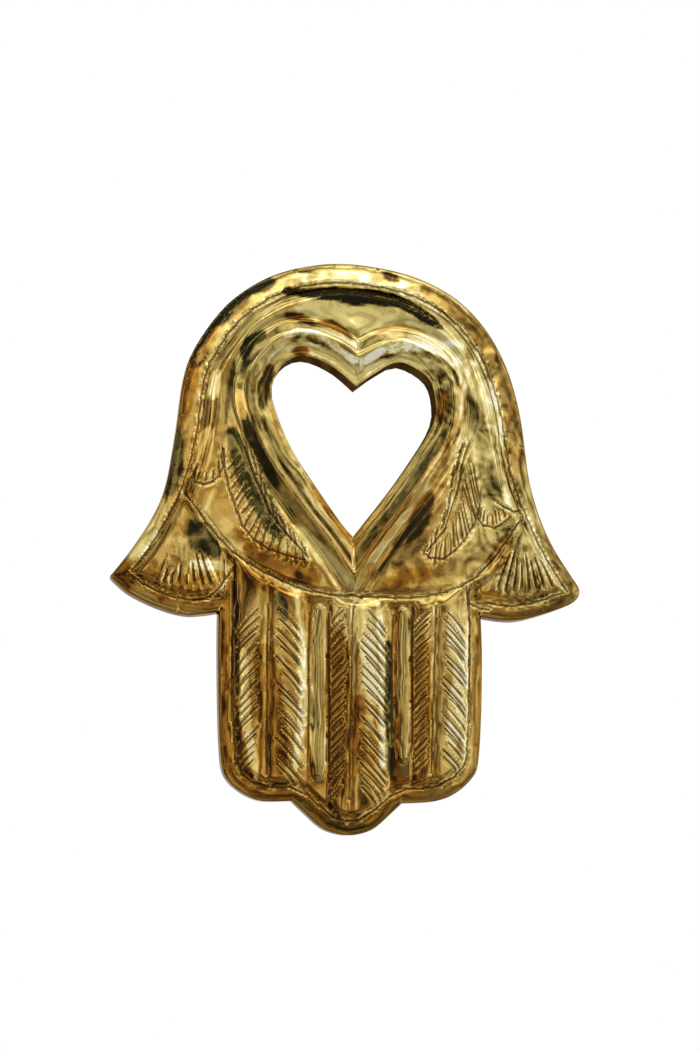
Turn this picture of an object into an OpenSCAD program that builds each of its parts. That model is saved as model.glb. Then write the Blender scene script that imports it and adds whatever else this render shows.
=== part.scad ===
// Hamsa hand wall ornament: a chased brass sheet wrapped over a wooden board with an open heart,
// and a swinging wire ring at the back to hang it by.
// X runs across the hand, Z is up and the front faces -Y. The origin is the middle of the ring's axis.

/* [Hand] */
// Width over the two thumb tips
hand_w = 219; // [200:1:240]
// Height from the top of the dome to the middle fingertip
hand_h = 267.5; // [245:1:290]
// Thickness of the wooden board
board_t = 12; // [10:0.5:16]

/* [Brass sheet] */
// Thickness of the sheet
sheet_t = 0.6; // [0.5:0.05:0.8]
// Height of the raised ridge round the heart
ridge_h = 5.5; // [4:0.5:7]
// Height of the band between the ridge and the rim
band_h = 2.6; // [2:0.2:4]
// How far that band swells above its own edges
swell_h = 2.2; // [1:0.2:3]
// Height of the fingers
finger_h = 4.2; // [3:0.2:5]
// Height of the thumbs
thumb_h = 3; // [2:0.2:4]
// Depth of the groove where the palm ends
groove_d = 1.3; // [0.8:0.1:1.8]
// Width of the flat rim over the dome
rim_w = 9.5; // [7:0.5:10]
// Width of the flat rim round the thumbs and the fingers
low_rim_w = 6; // [4.5:0.5:7]
// How far the tabs fold in over the back
tab_d = 7; // [5:0.5:8]

/* [Tacks] */
// Diameter of a tack's domed head
tack_head_d = 3.6; // [3:0.2:4.4]
// Diameter of a tack's shank
tack_d = 1.2; // [1:0.1:1.6]
// Length of a tack under its head
tack_l = 6.5; // [5:0.5:8]

/* [Hanging ring] */
// Diameter of the ring's wire
wire_d = 2.2; // [1.8:0.1:2.6]
// Width of the ring between wire centres
ring_w = 20; // [18:0.5:24]
// Height of the ring from its axis to the middle of its bow
ring_h = 14; // [14:0.5:16]
// Play all round between the wire and the strap's loop
loop_gap = 0.06; // [0.03:0.01:0.1]

/* [Hanger strap] */
// Thickness of the strap's steel
strap_t = 0.8; // [0.6:0.1:1.2]
// Width of the strap
strap_w = 11; // [9:0.5:13]
// Diameter of a screw's shank
screw_d = 2.6; // [2.2:0.1:3]
// Diameter of a screw's head
screw_head_d = 5; // [4.4:0.2:5.6]
// Length of a screw under its head
screw_l = 9; // [7:0.5:9]

/* [Hidden] */

// Sizes that the outline points below were measured at
drawn_w = 219;
drawn_h = 267.5;
grow = [hand_w / drawn_w, hand_h / drawn_h];

// Gap between the hanging ring and the strap behind it
ring_clear = 0.4;
strap_back_y = -(wire_d / 2 + ring_clear);
board_back_y = strap_back_y - strap_t;
board_front_y = board_back_y - board_t;
face_y = board_front_y - sheet_t;
tab_y = board_back_y + sheet_t;

// Play between the board's edge and the brass skirt
skirt_gap = 0.05;
// Chamfer on the board's front edge
board_ease = 1;
// The skirt's front edge is rolled over by this much
roll = 1.1;
// Hem left at the bottom of each notch between two tabs
hem = 0.4;
// Steps along the outline are about this long, and shorter round the fingertips
step_l = 7;
tip_step_l = 4.5;
tip_z = -205 * grow.y;
// A stretch of outline shorter than this, or one that ends in a corner, carries no tab
least_tab = 9;
// A tab on a stretch shorter than this has no tack
least_tacked = 12;

// Middle of the heart, seen from which every point of the outline is in view
heart_c = [2 * grow.x, -70 * grow.y];

// Outline from the dome's top, clockwise. A 1 as third number marks a corner.
outline_pts = [
    [0, 22.5], [28, 18.5], [49.5, 9], [64, -4.5], [73.5, -20], [79, -35], [82.5, -51], [84.5, -67.5],
    [86.5, -81.5], [91.5, -98.5], [98, -112.5], [106, -125], [109.5, -131], [107.5, -136], [99.5, -140],
    [80, -145.5], [62, -144, 1],
    [62.5, -160], [62, -186.5], [60.5, -209.5], [58, -218], [50, -225.5], [40, -229.5], [24.5, -230.5, 1],
    [18, -236.5], [10.5, -242.5], [0, -245], [-10.5, -242.5], [-18, -236.5], [-25.5, -229.5, 1],
    [-40, -229.5], [-50, -225], [-56.5, -218], [-58.5, -207.5], [-59.5, -186.5], [-60, -160], [-60, -144, 1],
    [-74, -145.5], [-88, -142], [-101.5, -135.5], [-109.5, -128.5, 1],
    [-101.5, -118], [-94, -106.5], [-88, -95], [-84.5, -84], [-82.5, -73], [-80, -56], [-78, -39],
    [-75, -26.5], [-67.5, -12.5], [-56, 2], [-40, 13.5], [-22, 20]
];

// The heart's opening, clockwise from the notch between its lobes
heart_pts = [
    [3.5, -37, 1], [13.5, -29.5], [24.5, -24.5], [38, -32], [41.5, -45.5], [39, -56], [30.5, -70],
    [20.5, -84.5], [9, -99.5], [2, -108.5, 1],
    [-4, -101.5], [-16, -84.5], [-27, -67.5], [-34, -51], [-36.5, -39], [-31, -27.5], [-21, -23], [-7.5, -28]
];

// The groove where the palm ends, as [angle, distance] from the middle of the heart. It fades out
// in the two stretches of palm_ends, and goes on round the dome as the middle of its band.
palm_line = [
    [-270, 64], [-200, 62], [-186, 66], [-171, 78], [-150, 76], [-135, 73.5], [-114, 69], [-90, 68],
    [-63, 74], [-49, 80], [-25, 86], [-18, 80], [-5, 68], [10, 64], [90, 64]
];
palm_ends = [[-178, -160], [-30, -12]];

// Left edge, vein and right edge of each finger
fingers = [[-53.5, -38, -19.6], [-10.2, 1, 19], [28.4, 39, 56]];
// Middle and half width of the slender ridges between the fingers
slender_rows = [[-14.3, 3.7], [24.3, 3.7]];
slender_h = finger_h * 0.75;
// Height left in the valleys beside the slender ridges, and beside the outer fingers
valley_h = finger_h * 0.4;
border_h = 0.5;
// The fingers' sides are this much fuller than round
fullness = 2.6;
block_x = [-60 * grow.x, 62 * grow.x];

// Half width of the palm's groove, and the distance over which the fingers and thumbs rise past it
groove_w = 2.6;
rise_w = 5;

// Distances of the sheet's rows of points from the heart's edge and from the outline
heart_rows = [0, 4, 8, 11, 15];
// Over this distance the sheet rises from the flat rim
rim_rise = 5;
// The swell runs along the rim, this far in from it, and fades over this distance to both sides
swell_in = 6;
swell_w = 6.5;
// Heights between which the rim narrows from the dome down to the thumbs
rim_narrows = [-60 * grow.y, -105 * grow.y];
// Rows between the palm's groove and the rim
outer_rows = 5;

function smooth(a, b, t) = let (u = min(1, max(0, (t - a) / (b - a)))) u * u * (3 - 2 * u);
function flat(p) = [p.x * grow.x, p.y * grow.y];
function blend(p0, p1, p2, p3, t) =
    0.5 * (2 * p1 + t * (p2 - p0) + t * t * (2 * p0 - 5 * p1 + 4 * p2 - p3)
    + t * t * t * (3 * p1 - p0 - 3 * p2 + p3));

// A smooth closed curve through the points, straight-ended at corners, as [point, depth of its tab]
function curve(pts, step) = [
    for (i = [0 : len(pts) - 1])
        let (
            n = len(pts),
            a = pts[i],
            b = pts[(i + 1) % n],
            p1 = flat(a),
            p2 = flat(b),
            p0 = a[2] == 1 ? p1 : flat(pts[(i + n - 1) % n]),
            p3 = b[2] == 1 ? p2 : flat(pts[(i + 2) % n]),
            long = norm(p2 - p1),
            steps = max(2, round(long / (p2.y < tip_z ? min(step, tip_step_l) : step))),
            tabbed = long > least_tab && a[2] != 1 && b[2] != 1
        )
        for (k = [0 : steps - 1])
            [blend(p0, p1, p2, p3, k / steps), tabbed && k > 0 ? tab_d : sheet_t + hem]
];

// Middles of the tabs, as [point, direction along the outline]
function tab_middles(pts) = [
    for (i = [0 : len(pts) - 1])
        let (
            n = len(pts),
            a = pts[i],
            b = pts[(i + 1) % n],
            p = [for (k = [-1 : 2]) flat(pts[(i + k + n) % n])],
            long = norm(p[2] - p[1])
        )
        if (long > least_tacked && a[2] != 1 && b[2] != 1)
            [blend(p[0], p[1], p[2], p[3], 0.5), (p[2] - p[1]) / long]
];

outline_curve = curve(outline_pts, step_l);
outline = [for (c = outline_curve) c[0]];
tab_in = [for (c = outline_curve) c[1]];
count = len(outline);

// Outward normals of a clockwise closed line, shortened at its bends
function normals(line) = [
    for (i = [0 : len(line) - 1])
        let (
            n = len(line),
            u = line[i] - line[(i + n - 1) % n],
            v = line[(i + 1) % n] - line[i],
            a = [-u.y, u.x] / norm(u),
            b = [-v.y, v.x] / norm(v)
        )
        (a + b) / 2
];
outline_n = normals(outline);
function inset(i, d) = outline[i] - outline_n[i] * d / (outline_n[i] * outline_n[i]);

// The heart's opening, with a point on each ray from its middle to a point of the outline
heart_fine = [for (c = curve(heart_pts, 1.5)) c[0]];
function angle_of(p) = atan2(p.y - heart_c.y, p.x - heart_c.x);
heart_table = [
    for (turn = [-360, 0, 360])
        for (p = heart_fine) [angle_of(p) + turn, norm(p - heart_c)]
];
rays = [for (p = outline) (p - heart_c) / norm(p - heart_c)];
half_ray = 180 / count;
heart_corners = [for (p = heart_pts) if (p[2] == 1) flat(p)];
function nearest_ray(c) = let (
    off = [for (r = rays) norm(r - (c - heart_c) / norm(c - heart_c))]
) search(min(off), off)[0];
corner_rays = [for (c = heart_corners) nearest_ray(c)];
heart = [
    for (i = [0 : count - 1])
        i == corner_rays[0] ? heart_corners[0] :
        i == corner_rays[1] ? heart_corners[1] :
        heart_c + rays[i] * lookup(angle_of(outline[i]), heart_table)
];
heart_n = normals(heart);

// How far to go along a ray for each millimetre away from the outline or from the heart's edge
function reach(i) = let (u = outline[i] - heart[i]) norm(u);
function along(i) = (outline[i] - heart[i]) / reach(i);
function rim_cos(i) = max(0.45, outline_n[i] * along(i));
function heart_cos(i) = max(0.6, heart_n[i] * along(i));

// Angles from -270 to 90, so that the palm's stretch is unbroken
function palm_angle(i) = let (a = angle_of(outline[i])) a > 90 ? a - 360 : a;
function palm_share(i) = let (a = palm_angle(i))
    smooth(palm_ends[0][0], palm_ends[0][1], a) - smooth(palm_ends[1][0], palm_ends[1][1], a);
function palm_reach(i) =
    lookup(palm_angle(i), palm_line) * (grow.x + grow.y) / 2 - norm(heart[i] - heart_c);

// Places of the sheet's points along one ray
function rim_at(i) = low_rim_w
    + (rim_w - low_rim_w) * smooth(rim_narrows[1], rim_narrows[0], outline[i].y);
function stations(i) = let (
    first = [for (d = heart_rows) d / heart_cos(i)],
    last = [for (d = [rim_at(i) + rim_rise, rim_at(i), roll]) reach(i) - d / rim_cos(i)],
    low = first[len(first) - 1],
    high = last[0],
    wing = min(groove_w, (high - low) / 6),
    mid = min(high - 2 * wing, max(low + 2 * wing, palm_reach(i))),
    rest = high - mid - wing
) concat(
    first,
    [(low + mid - wing) / 2, mid - wing, mid, mid + wing],
    [for (k = [1 : outer_rows]) mid + wing + rest * k / (outer_rows + 1)],
    last
);

// Height of the relief over the flat rim
function heart_wall(d) =
    d < 9 ? ridge_h * pow(smooth(-1, 9, d), 1.4) :
    band_h + (ridge_h - band_h) * (1 - smooth(9, 15, d));
function palm_height(dh, dr, rim) = heart_wall(dh)
    + swell_h * exp(-pow((dr - rim - swell_in) / swell_w, 2));
function finger_side(u) = u < 1 ? finger_h * sqrt(1 - pow(u, fullness)) : 0;
function slender_side(u) = u < 1 ? slender_h * sqrt(1 - u * u) : u < 2 ? valley_h : 0;
function finger_height(x) = max(concat(
    [border_h],
    [for (f = fingers) finger_side(x < f[1] ? (f[1] - x) / (f[1] - f[0]) : (x - f[1]) / (f[2] - f[1]))],
    [for (r = slender_rows) slender_side(abs(x - r[0]) / r[1])]
));
function height_at(i, s) = let (
    p = heart[i] + along(i) * s,
    dh = s * heart_cos(i),
    dr = (reach(i) - s) * rim_cos(i),
    past = s - palm_reach(i),
    rim = rim_at(i),
    below = palm_share(i) * smooth(0, rise_w, past),
    low = p.x > block_x[0] && p.x < block_x[1] ? finger_height(p.x / grow.x) : thumb_h,
    groove = palm_share(i) * groove_d * (1 - smooth(0, groove_w, abs(past)))
) max(0, smooth(rim, rim + rim_rise, dr) * ((1 - below) * palm_height(dh, dr, rim) + below * low - groove));

function at(p, y) = [p.x, y, p.y];

// One closed slice of the brass: out along the front, round the edge to the tab, and back inside
function slice(i) = let (
    rows = stations(i),
    front = [for (s = rows) at(heart[i] + along(i) * s, face_y - height_at(i, s))],
    back = [for (k = [len(rows) - 1 : -1 : 0]) front[k] + [0, sheet_t, 0]]
) concat(front, [
    at(outline[i], face_y + roll),
    at(outline[i], tab_y),
    at(inset(i, tab_in[i]), tab_y),
    at(inset(i, tab_in[i]), board_back_y),
    at(inset(i, sheet_t), board_back_y),
    at(inset(i, sheet_t), board_front_y + roll / 2)
], back);

// One closed slice of the board, its front edge eased so that the sheet can roll over it
function board_slice(i) = let (edge = sheet_t + skirt_gap) [
    at(heart[i], board_front_y),
    at(inset(i, edge + board_ease), board_front_y),
    at(inset(i, edge), board_front_y + board_ease),
    at(inset(i, edge), board_back_y),
    at(heart[i], board_back_y)
];

// A solid that runs once round the hand through all its slices
module joined(slices) {
    ring = len(slices[0]);
    faces = [
        for (i = [0 : count - 1])
            for (k = [0 : ring - 1])
                let (
                    a = i * ring,
                    b = ((i + 1) % count) * ring,
                    m = (k + 1) % ring
                )
                for (f = [[a + k, a + m, b + m], [a + k, b + m, b + k]]) f
    ];
    polyhedron([for (s = slices) for (p = s) p], faces, convexity = 8);
}

module brass_face() {
    color([0.80, 0.64, 0.27]) joined([for (i = [0 : count - 1]) slice(i)]);
}

tack_places = [for (t = tab_middles(outline_pts)) t[0] + [t[1].y, -t[1].x] * tab_d * 0.6];
// The screws sit below the hanging ring
ring_to_screw = 0.6;
screw_apart = 1.4;
first_screw_z = -(ring_h + wire_d / 2 + ring_to_screw + screw_head_d / 2);
screw_z = [first_screw_z, first_screw_z - screw_head_d - screw_apart];
strap_end_z = screw_z[1] - screw_head_d / 2 - 1.2;
pilot_d = screw_d * 0.7;

module backing_board() {
    color([0.24, 0.14, 0.08])
        difference() {
            joined([for (i = [0 : count - 1]) board_slice(i)]);
            for (z = screw_z)
                translate([0, board_back_y + 1, z])
                    rotate([90, 0, 0]) cylinder(h = screw_l + 1, d = pilot_d, $fn = 32);
        }
}

// A tack or screw that points towards the front, its head's underside at the origin
module domed_head(d, h) {
    ball = (d * d / 4 + h * h) / (2 * h);
    intersection() {
        translate([0, h - ball, 0]) sphere(ball, $fn = 48);
        rotate([-90, 0, 0]) cylinder(h = h + 1, d = d + 1, $fn = 48);
    }
}

module shank(d, l) {
    point = d;
    rotate([90, 0, 0]) {
        cylinder(h = l - point, d = d, $fn = 24);
        translate([0, 0, l - point]) cylinder(h = point, d1 = d, d2 = d * 0.2, $fn = 24);
    }
}

module rim_tacks() {
    color([0.72, 0.56, 0.24])
        for (p = tack_places)
            translate(at(p, tab_y)) {
                domed_head(tack_head_d, tack_head_d * 0.28);
                shank(tack_d, tack_l);
            }
}

loop_r = wire_d / 2 + loop_gap;

// The strap is a flat plate whose top end curls round the ring's wire
module hanger_strap() {
    // Half angle of the opening where the curl's free end stops short of the plate
    open_a = 22;
    color([0.62, 0.60, 0.55])
        difference() {
            union() {
                translate([-strap_w / 2, board_back_y, strap_end_z + strap_w / 2])
                    cube([strap_w, strap_t, -strap_end_z - strap_w / 2]);
                translate([0, board_back_y, strap_end_z + strap_w / 2])
                    rotate([-90, 0, 0]) cylinder(h = strap_t, d = strap_w, $fn = 64);
                rotate([0, 90, 0])
                    cylinder(h = strap_w, r = loop_r + strap_t, center = true, $fn = 64);
            }
            rotate([0, 90, 0]) cylinder(h = strap_w + 2, r = loop_r, center = true, $fn = 64);
            rotate([-open_a, 0, 0])
                translate([-strap_w / 2 - 1, -loop_r * sin(open_a), -3 * loop_r])
                    cube([strap_w + 2, loop_r, 3 * loop_r]);
            for (z = screw_z)
                translate([0, board_back_y - 1, z])
                    rotate([-90, 0, 0]) cylinder(h = strap_t + 2, d = screw_d + 0.4, $fn = 32);
        }
}

module wire_bend(r, turn) {
    rotate_extrude(angle = turn, $fn = 96) translate([r, 0]) circle(d = wire_d, $fn = 48);
}

// A D of round wire that hangs from its straight side
module hanger_ring() {
    bend = 3;
    side = ring_w / 2;
    bow_z = -(ring_h - side);
    color([0.66, 0.64, 0.58]) {
        rotate([0, 90, 0])
            cylinder(h = ring_w - 2 * bend, d = wire_d, center = true, $fn = 48);
        for (m = [0, 1])
            mirror([m, 0, 0]) {
                translate([side - bend, 0, -bend])
                    rotate([90, 0, 0]) wire_bend(bend, 90);
                translate([side, 0, bow_z])
                    cylinder(h = -bow_z - bend, d = wire_d, $fn = 48);
            }
        translate([0, 0, bow_z])
            rotate([90, 0, 0])
                rotate([0, 0, 180]) wire_bend(side, 180);
    }
}

module hanger_screws() {
    slot_w = 0.7;
    head_h = screw_head_d * 0.26;
    color([0.70, 0.62, 0.42])
        for (z = screw_z)
            translate([0, strap_back_y, z]) {
                difference() {
                    domed_head(screw_head_d, head_h);
                    translate([-screw_head_d, head_h * 0.5, -slot_w / 2])
                        cube([2 * screw_head_d, head_h, slot_w]);
                }
                shank(screw_d, screw_l);
            }
}

brass_face();
backing_board();
rim_tacks();
hanger_strap();
hanger_ring();
hanger_screws();
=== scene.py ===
"""Dresses the hamsa hand: a chased, hammered brass sheet over a stained board, and its hanger."""

import logging
import math
import random
from dataclasses import dataclass, field
from enum import Enum

import bmesh
import bpy
import numpy as np
from mathutils import Matrix, Vector
from mathutils.kdtree import KDTree


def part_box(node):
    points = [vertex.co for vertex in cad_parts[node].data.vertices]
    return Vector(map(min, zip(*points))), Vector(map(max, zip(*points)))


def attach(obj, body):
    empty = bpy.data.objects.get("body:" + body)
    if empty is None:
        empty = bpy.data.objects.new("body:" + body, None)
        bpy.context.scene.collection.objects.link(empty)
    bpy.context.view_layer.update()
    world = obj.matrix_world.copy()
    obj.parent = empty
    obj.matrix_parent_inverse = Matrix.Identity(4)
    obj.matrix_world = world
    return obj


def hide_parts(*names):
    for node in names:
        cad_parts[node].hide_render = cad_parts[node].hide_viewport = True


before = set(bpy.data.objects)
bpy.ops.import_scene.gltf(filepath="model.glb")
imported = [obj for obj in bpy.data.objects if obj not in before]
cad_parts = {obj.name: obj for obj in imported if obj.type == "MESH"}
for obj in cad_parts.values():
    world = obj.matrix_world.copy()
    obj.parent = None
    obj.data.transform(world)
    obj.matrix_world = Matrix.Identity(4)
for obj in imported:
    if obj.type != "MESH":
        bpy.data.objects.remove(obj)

LOG = logging.getLogger("hamsa_hand")
MM = 0.001
Array = np.ndarray
Colour = tuple[float, float, float]
Axes = tuple[float, float, float]
Spot = tuple[float, float]
Line = tuple[Spot, ...]
BMesh = bmesh.types.BMesh
Layer = bmesh.types.BMLayerItem
Socket = bpy.types.NodeSocket
Node = bpy.types.Node


class Side(Enum):
    """Which side of a vein a row of chisel strokes lies on."""

    LEFT = -1
    RIGHT = 1


def smooth(a: float, b: float, t: Array) -> Array:
    """Eases from 0 at a to 1 at b.

    Args:
        a: Value where the result is 0.
        b: Value where the result is 1.
        t: Values to ease.

    Returns:
        Eased values from 0 to 1.
    """
    u = np.clip((np.asarray(t, float) - a) / (b - a), 0, 1)
    return u * u * (3 - 2 * u)


def bell(t: Array, width: Array | float) -> Array:
    """A bell curve, 1 where t is 0 and about a third where t is the width."""
    return np.exp(-((t / width) ** 2))


def lattice_noise(x: Array, z: Array, cell: float, seed: int) -> Array:
    """Smooth value noise on a square lattice.

    Args:
        x: Places across, in millimetres.
        z: Places up, in millimetres.
        cell: Size of a lattice cell in millimetres.
        seed: Seed of the lattice's values.

    Returns:
        Noise from -1 to 1 at each place.
    """
    cells, above_zero = 64, 1000
    table = np.random.default_rng(seed).uniform(-1, 1, (cells, cells))
    u, v = x / cell + above_zero, z / cell + above_zero
    i, j = np.floor(u).astype(int), np.floor(v).astype(int)
    a, b = u - i, v - j
    a, b = a * a * (3 - 2 * a), b * b * (3 - 2 * b)

    def at(p: Array, q: Array) -> Array:
        """Lattice values at whole places."""
        return table[p % cells, q % cells]

    low = at(i, j) * (1 - a) + at(i + 1, j) * a
    high = at(i, j + 1) * (1 - a) + at(i + 1, j + 1) * a
    return low * (1 - b) + high * b


def spline(points: Array, closed: bool, step: float, corner_deg: float = 36) -> Array:
    """A smooth line through points, kept sharp where they turn sharply.

    Args:
        points: Points in millimetres, one a row.
        closed: Whether the line returns to its start.
        step: Distance between the new points.
        corner_deg: A turn of more than this stays a corner.

    Returns:
        Points along the line.
    """
    n = len(points)
    spans = n if closed else n - 1

    def is_corner(i: int) -> bool:
        """Whether a point stays sharp.

        Args:
            i: Number of the point.

        Returns:
            True where the line turns sharply or ends.
        """
        if not closed and i in (0, n - 1):
            return True
        u = points[i] - points[i - 1]
        v = points[(i + 1) % n] - points[i]
        turn = math.atan2(u[0] * v[1] - u[1] * v[0], float(u @ v))
        return abs(math.degrees(turn)) > corner_deg

    corner = [is_corner(i) for i in range(n)]
    out = []
    for i in range(spans):
        j = (i + 1) % n
        p1, p2 = points[i], points[j]
        p0 = p1 if corner[i] else points[i - 1]
        p3 = p2 if corner[j] else points[(i + 2) % n]
        count = max(2, round(float(np.linalg.norm(p2 - p1)) / step))
        t = (np.arange(count) / count)[:, None]
        cubic = 2 * p1 + t * (p2 - p0) + t**2 * (2 * p0 - 5 * p1 + 4 * p2 - p3)
        out.append((cubic + t**3 * (3 * p1 - p0 - 3 * p2 + p3)) / 2)
    if not closed:
        out.append(points[-1][None, :])
    return np.vstack(out)


def rounded(points: Line | Array, step: float) -> Array:
    """A smooth open line through points, without corners."""
    return spline(np.array(points, float), False, step, 180)


def around(places: Array, a: Array, b: Array, reach: float) -> Array:
    """Numbers of the places in the box of two points, grown by a reach."""
    low, high = np.minimum(a, b) - reach, np.maximum(a, b) + reach
    return np.flatnonzero(np.all((places > low) & (places < high), axis=1))


def to_segment(places: Array, a: Array, b: Array) -> tuple[Array, Array]:
    """How each place lies to a straight line.

    Args:
        places: Places in millimetres, one a row.
        a: Start of the line.
        b: End of the line.

    Returns:
        The share of the line passed at its nearest point, and the distance from it.
    """
    way = b - a
    t = np.clip((places - a) @ way / float(way @ way), 0, 1)
    return t, np.linalg.norm(places - a - t[:, None] * way, axis=1)


class Contour:
    """A closed line with outward normals, which tells how far places are inside it."""

    shortest = 0.45
    close = 0.6
    corner_deg = 30

    def __init__(self, points: Array) -> None:
        """Keeps the line and its normals.

        Args:
            points: Points of the closed line in millimetres, close together.
        """
        x, z = points.T
        area = np.sum(x * np.roll(z, -1) - z * np.roll(x, -1))
        self.points = points if area > 0 else points[::-1]
        ahead = np.roll(self.points, -1, 0) - self.points
        ahead /= np.linalg.norm(ahead, axis=1)[:, None]
        normal = np.stack([ahead[:, 1], -ahead[:, 0]], 1)
        both = (normal + np.roll(normal, 1, 0)) / 2
        self.normals = both / np.maximum(self.shortest, np.sum(both * both, 1))[:, None]
        gaps = np.linalg.norm(np.roll(self.points, -1, 0) - self.points, axis=1)
        self.along = np.concatenate([[0], np.cumsum(gaps)[:-1]])
        self.length = float(gaps.sum())
        self.tree = KDTree(len(self.points))
        for i, p in enumerate(self.points):
            self.tree.insert((p[0], p[1], 0), i)
        self.tree.balance()

    def inside(self, places: Array) -> tuple[Array, Array]:
        """How far places are inside the line.

        Args:
            places: Places in millimetres, one a row.

        Returns:
            Distances, negative outside, and the numbers of the nearest points.
        """
        near = np.array([self.tree.find((p[0], p[1], 0))[1] for p in places])
        away = places - self.points[near]
        unit = self.normals[near] / np.linalg.norm(self.normals[near], axis=1)[:, None]
        across = -np.sum(away * unit, 1)
        far = np.linalg.norm(away, axis=1)
        return np.where(far < self.close, across, far * np.sign(across)), near

    def corners(self) -> list[int]:
        """Finds where the line turns sharply.

        Returns:
            Numbers of the points.
        """
        u = self.points - np.roll(self.points, 1, 0)
        v = np.roll(self.points, -1, 0) - self.points
        turn = np.arctan2(u[:, 0] * v[:, 1] - u[:, 1] * v[:, 0], np.sum(u * v, 1))
        return [int(i) for i in np.flatnonzero(np.abs(np.degrees(turn)) > self.corner_deg)]

    def inset(self, numbers: Array, by: Array) -> Array:
        """Points of the line moved inwards.

        Args:
            numbers: Numbers of the line's points.
            by: How far to move each, in millimetres.

        Returns:
            The moved points.
        """
        return self.points[numbers] - self.normals[numbers] * np.asarray(by)[:, None]


@dataclass(frozen=True)
class Stroke:
    """A chisel stroke in millimetres: its ends, half width, depth and how far it bows."""

    start: Array
    end: Array
    width: float
    depth: float
    bow: float


@dataclass
class Strokes:
    """Chisel strokes, each a slightly bowed groove with a raised lip on both sides."""

    rng: random.Random
    rows: list[Stroke] = field(default_factory=list)
    lip_h: float = 0.22
    lip_at: float = 1.65
    lip_w: float = 0.7
    # Share of the painted lip highlight on the shaded side of a stroke.
    shaded_lip_highlight: float = 0.45
    deepest: float = 0.75

    def add(self, start: Array, end: Array, width: float, depth: float, bow: float = 0.0) -> None:
        """Adds a stroke."""
        self.rows.append(Stroke(start, end, width, depth, bow))

    def dashes(self, line: Array, dash: float, width: float, depth: float, slip: float) -> None:
        """Adds a row of short strokes that overlap along a line, each a little askew.

        Args:
            line: Points along the line.
            dash: Length of a stroke.
            width: Half width of the strokes.
            depth: Depth of the strokes.
            slip: How far a stroke's two ends stand off the line, to either side.
        """
        draw = self.rng.uniform
        gaps = np.linalg.norm(np.diff(line, axis=0), axis=1)
        s = np.concatenate([[0], np.cumsum(gaps)])
        at = 0.0
        while at < s[-1] - dash * 0.4:
            long = dash * draw(0.85, 1.2)
            ends = [min(at, s[-1]), min(at + long, s[-1])]
            a, b = (np.array([np.interp(e, s, column) for column in line.T]) for e in ends)
            way = (b - a) / max(1e-6, float(np.linalg.norm(b - a)))
            off = np.array([-way[1], way[0]]) * slip
            self.add(a + off, b - off, width, depth * draw(0.75, 1.2), draw(-0.2, 0.2))
            at += long * 0.9

    def carve(self, places: Array) -> tuple[Array, Array, Array]:
        """How deep the strokes cut at each place.

        Args:
            places: Places in millimetres, one a row.

        Returns:
            The change of height, negative in a groove, a mask of the grooves, and a mask of the
            painted highlight on the lip of each stroke, weaker on one side.
        """
        height, mask, lip_highlights = np.zeros((3, len(places)))
        for s in self.rows:
            near = around(places, s.start, s.end, 4 * s.width + abs(s.bow))
            if not len(near):
                continue
            long = float(np.linalg.norm(s.end - s.start))
            way = (s.end - s.start) / long
            rel = places[near] - s.start
            t = rel @ way / long
            c = np.clip(t, 0, 1)
            side = rel @ np.array([-way[1], way[0]]) - s.bow * 4 * c * (1 - c)
            d = np.hypot(side, (t - c) * long)
            taper = np.clip(np.minimum(c + 0.12, 1.25 - c) * 4, 0, 1)
            thick = s.width * (1.35 - 0.6 * c)
            groove = bell(d, thick) * taper
            lip = bell(d - self.lip_at * thick, self.lip_w * thick) * taper
            height[near] += self.lip_h * s.depth * lip - s.depth * groove
            mask[near] = np.maximum(mask[near], groove)
            # Painted highlight on the lip: full on one side of the stroke and weaker on the other,
            # as if lit from that side.
            lit_lip = lip * np.where(side * way[0] > 0, 1.0, self.shaded_lip_highlight)
            lip_highlights[near] = np.maximum(lip_highlights[near], lit_lip)
        return np.maximum(height, -self.deepest), mask, lip_highlights * (1 - mask)

    def nearness(self, places: Array, within: float) -> Array:
        """Finds the places beside the strokes.

        Args:
            places: Places in millimetres, one a row.
            within: Distance from a stroke's middle line.

        Returns:
            Whether each place is that near.
        """
        close = np.zeros(len(places), bool)
        for s in self.rows:
            near = around(places, s.start, s.end, within)
            if len(near):
                close[near] |= to_segment(places[near], s.start, s.end)[1] < within
        return close


@dataclass(frozen=True)
class Finger:
    """One raised finger: its edges, its vein and the strokes beside it, in millimetres."""

    left: float
    right: float
    vein_top: float
    vein_low: float
    low_z: float
    pitch: float


@dataclass(frozen=True)
class Fan:
    """The pleats that spread over a thumb from a point by the wrist."""

    apex: Spot
    first_deg: float
    last_deg: float
    pleats: int
    inner: float
    outer: float


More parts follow.
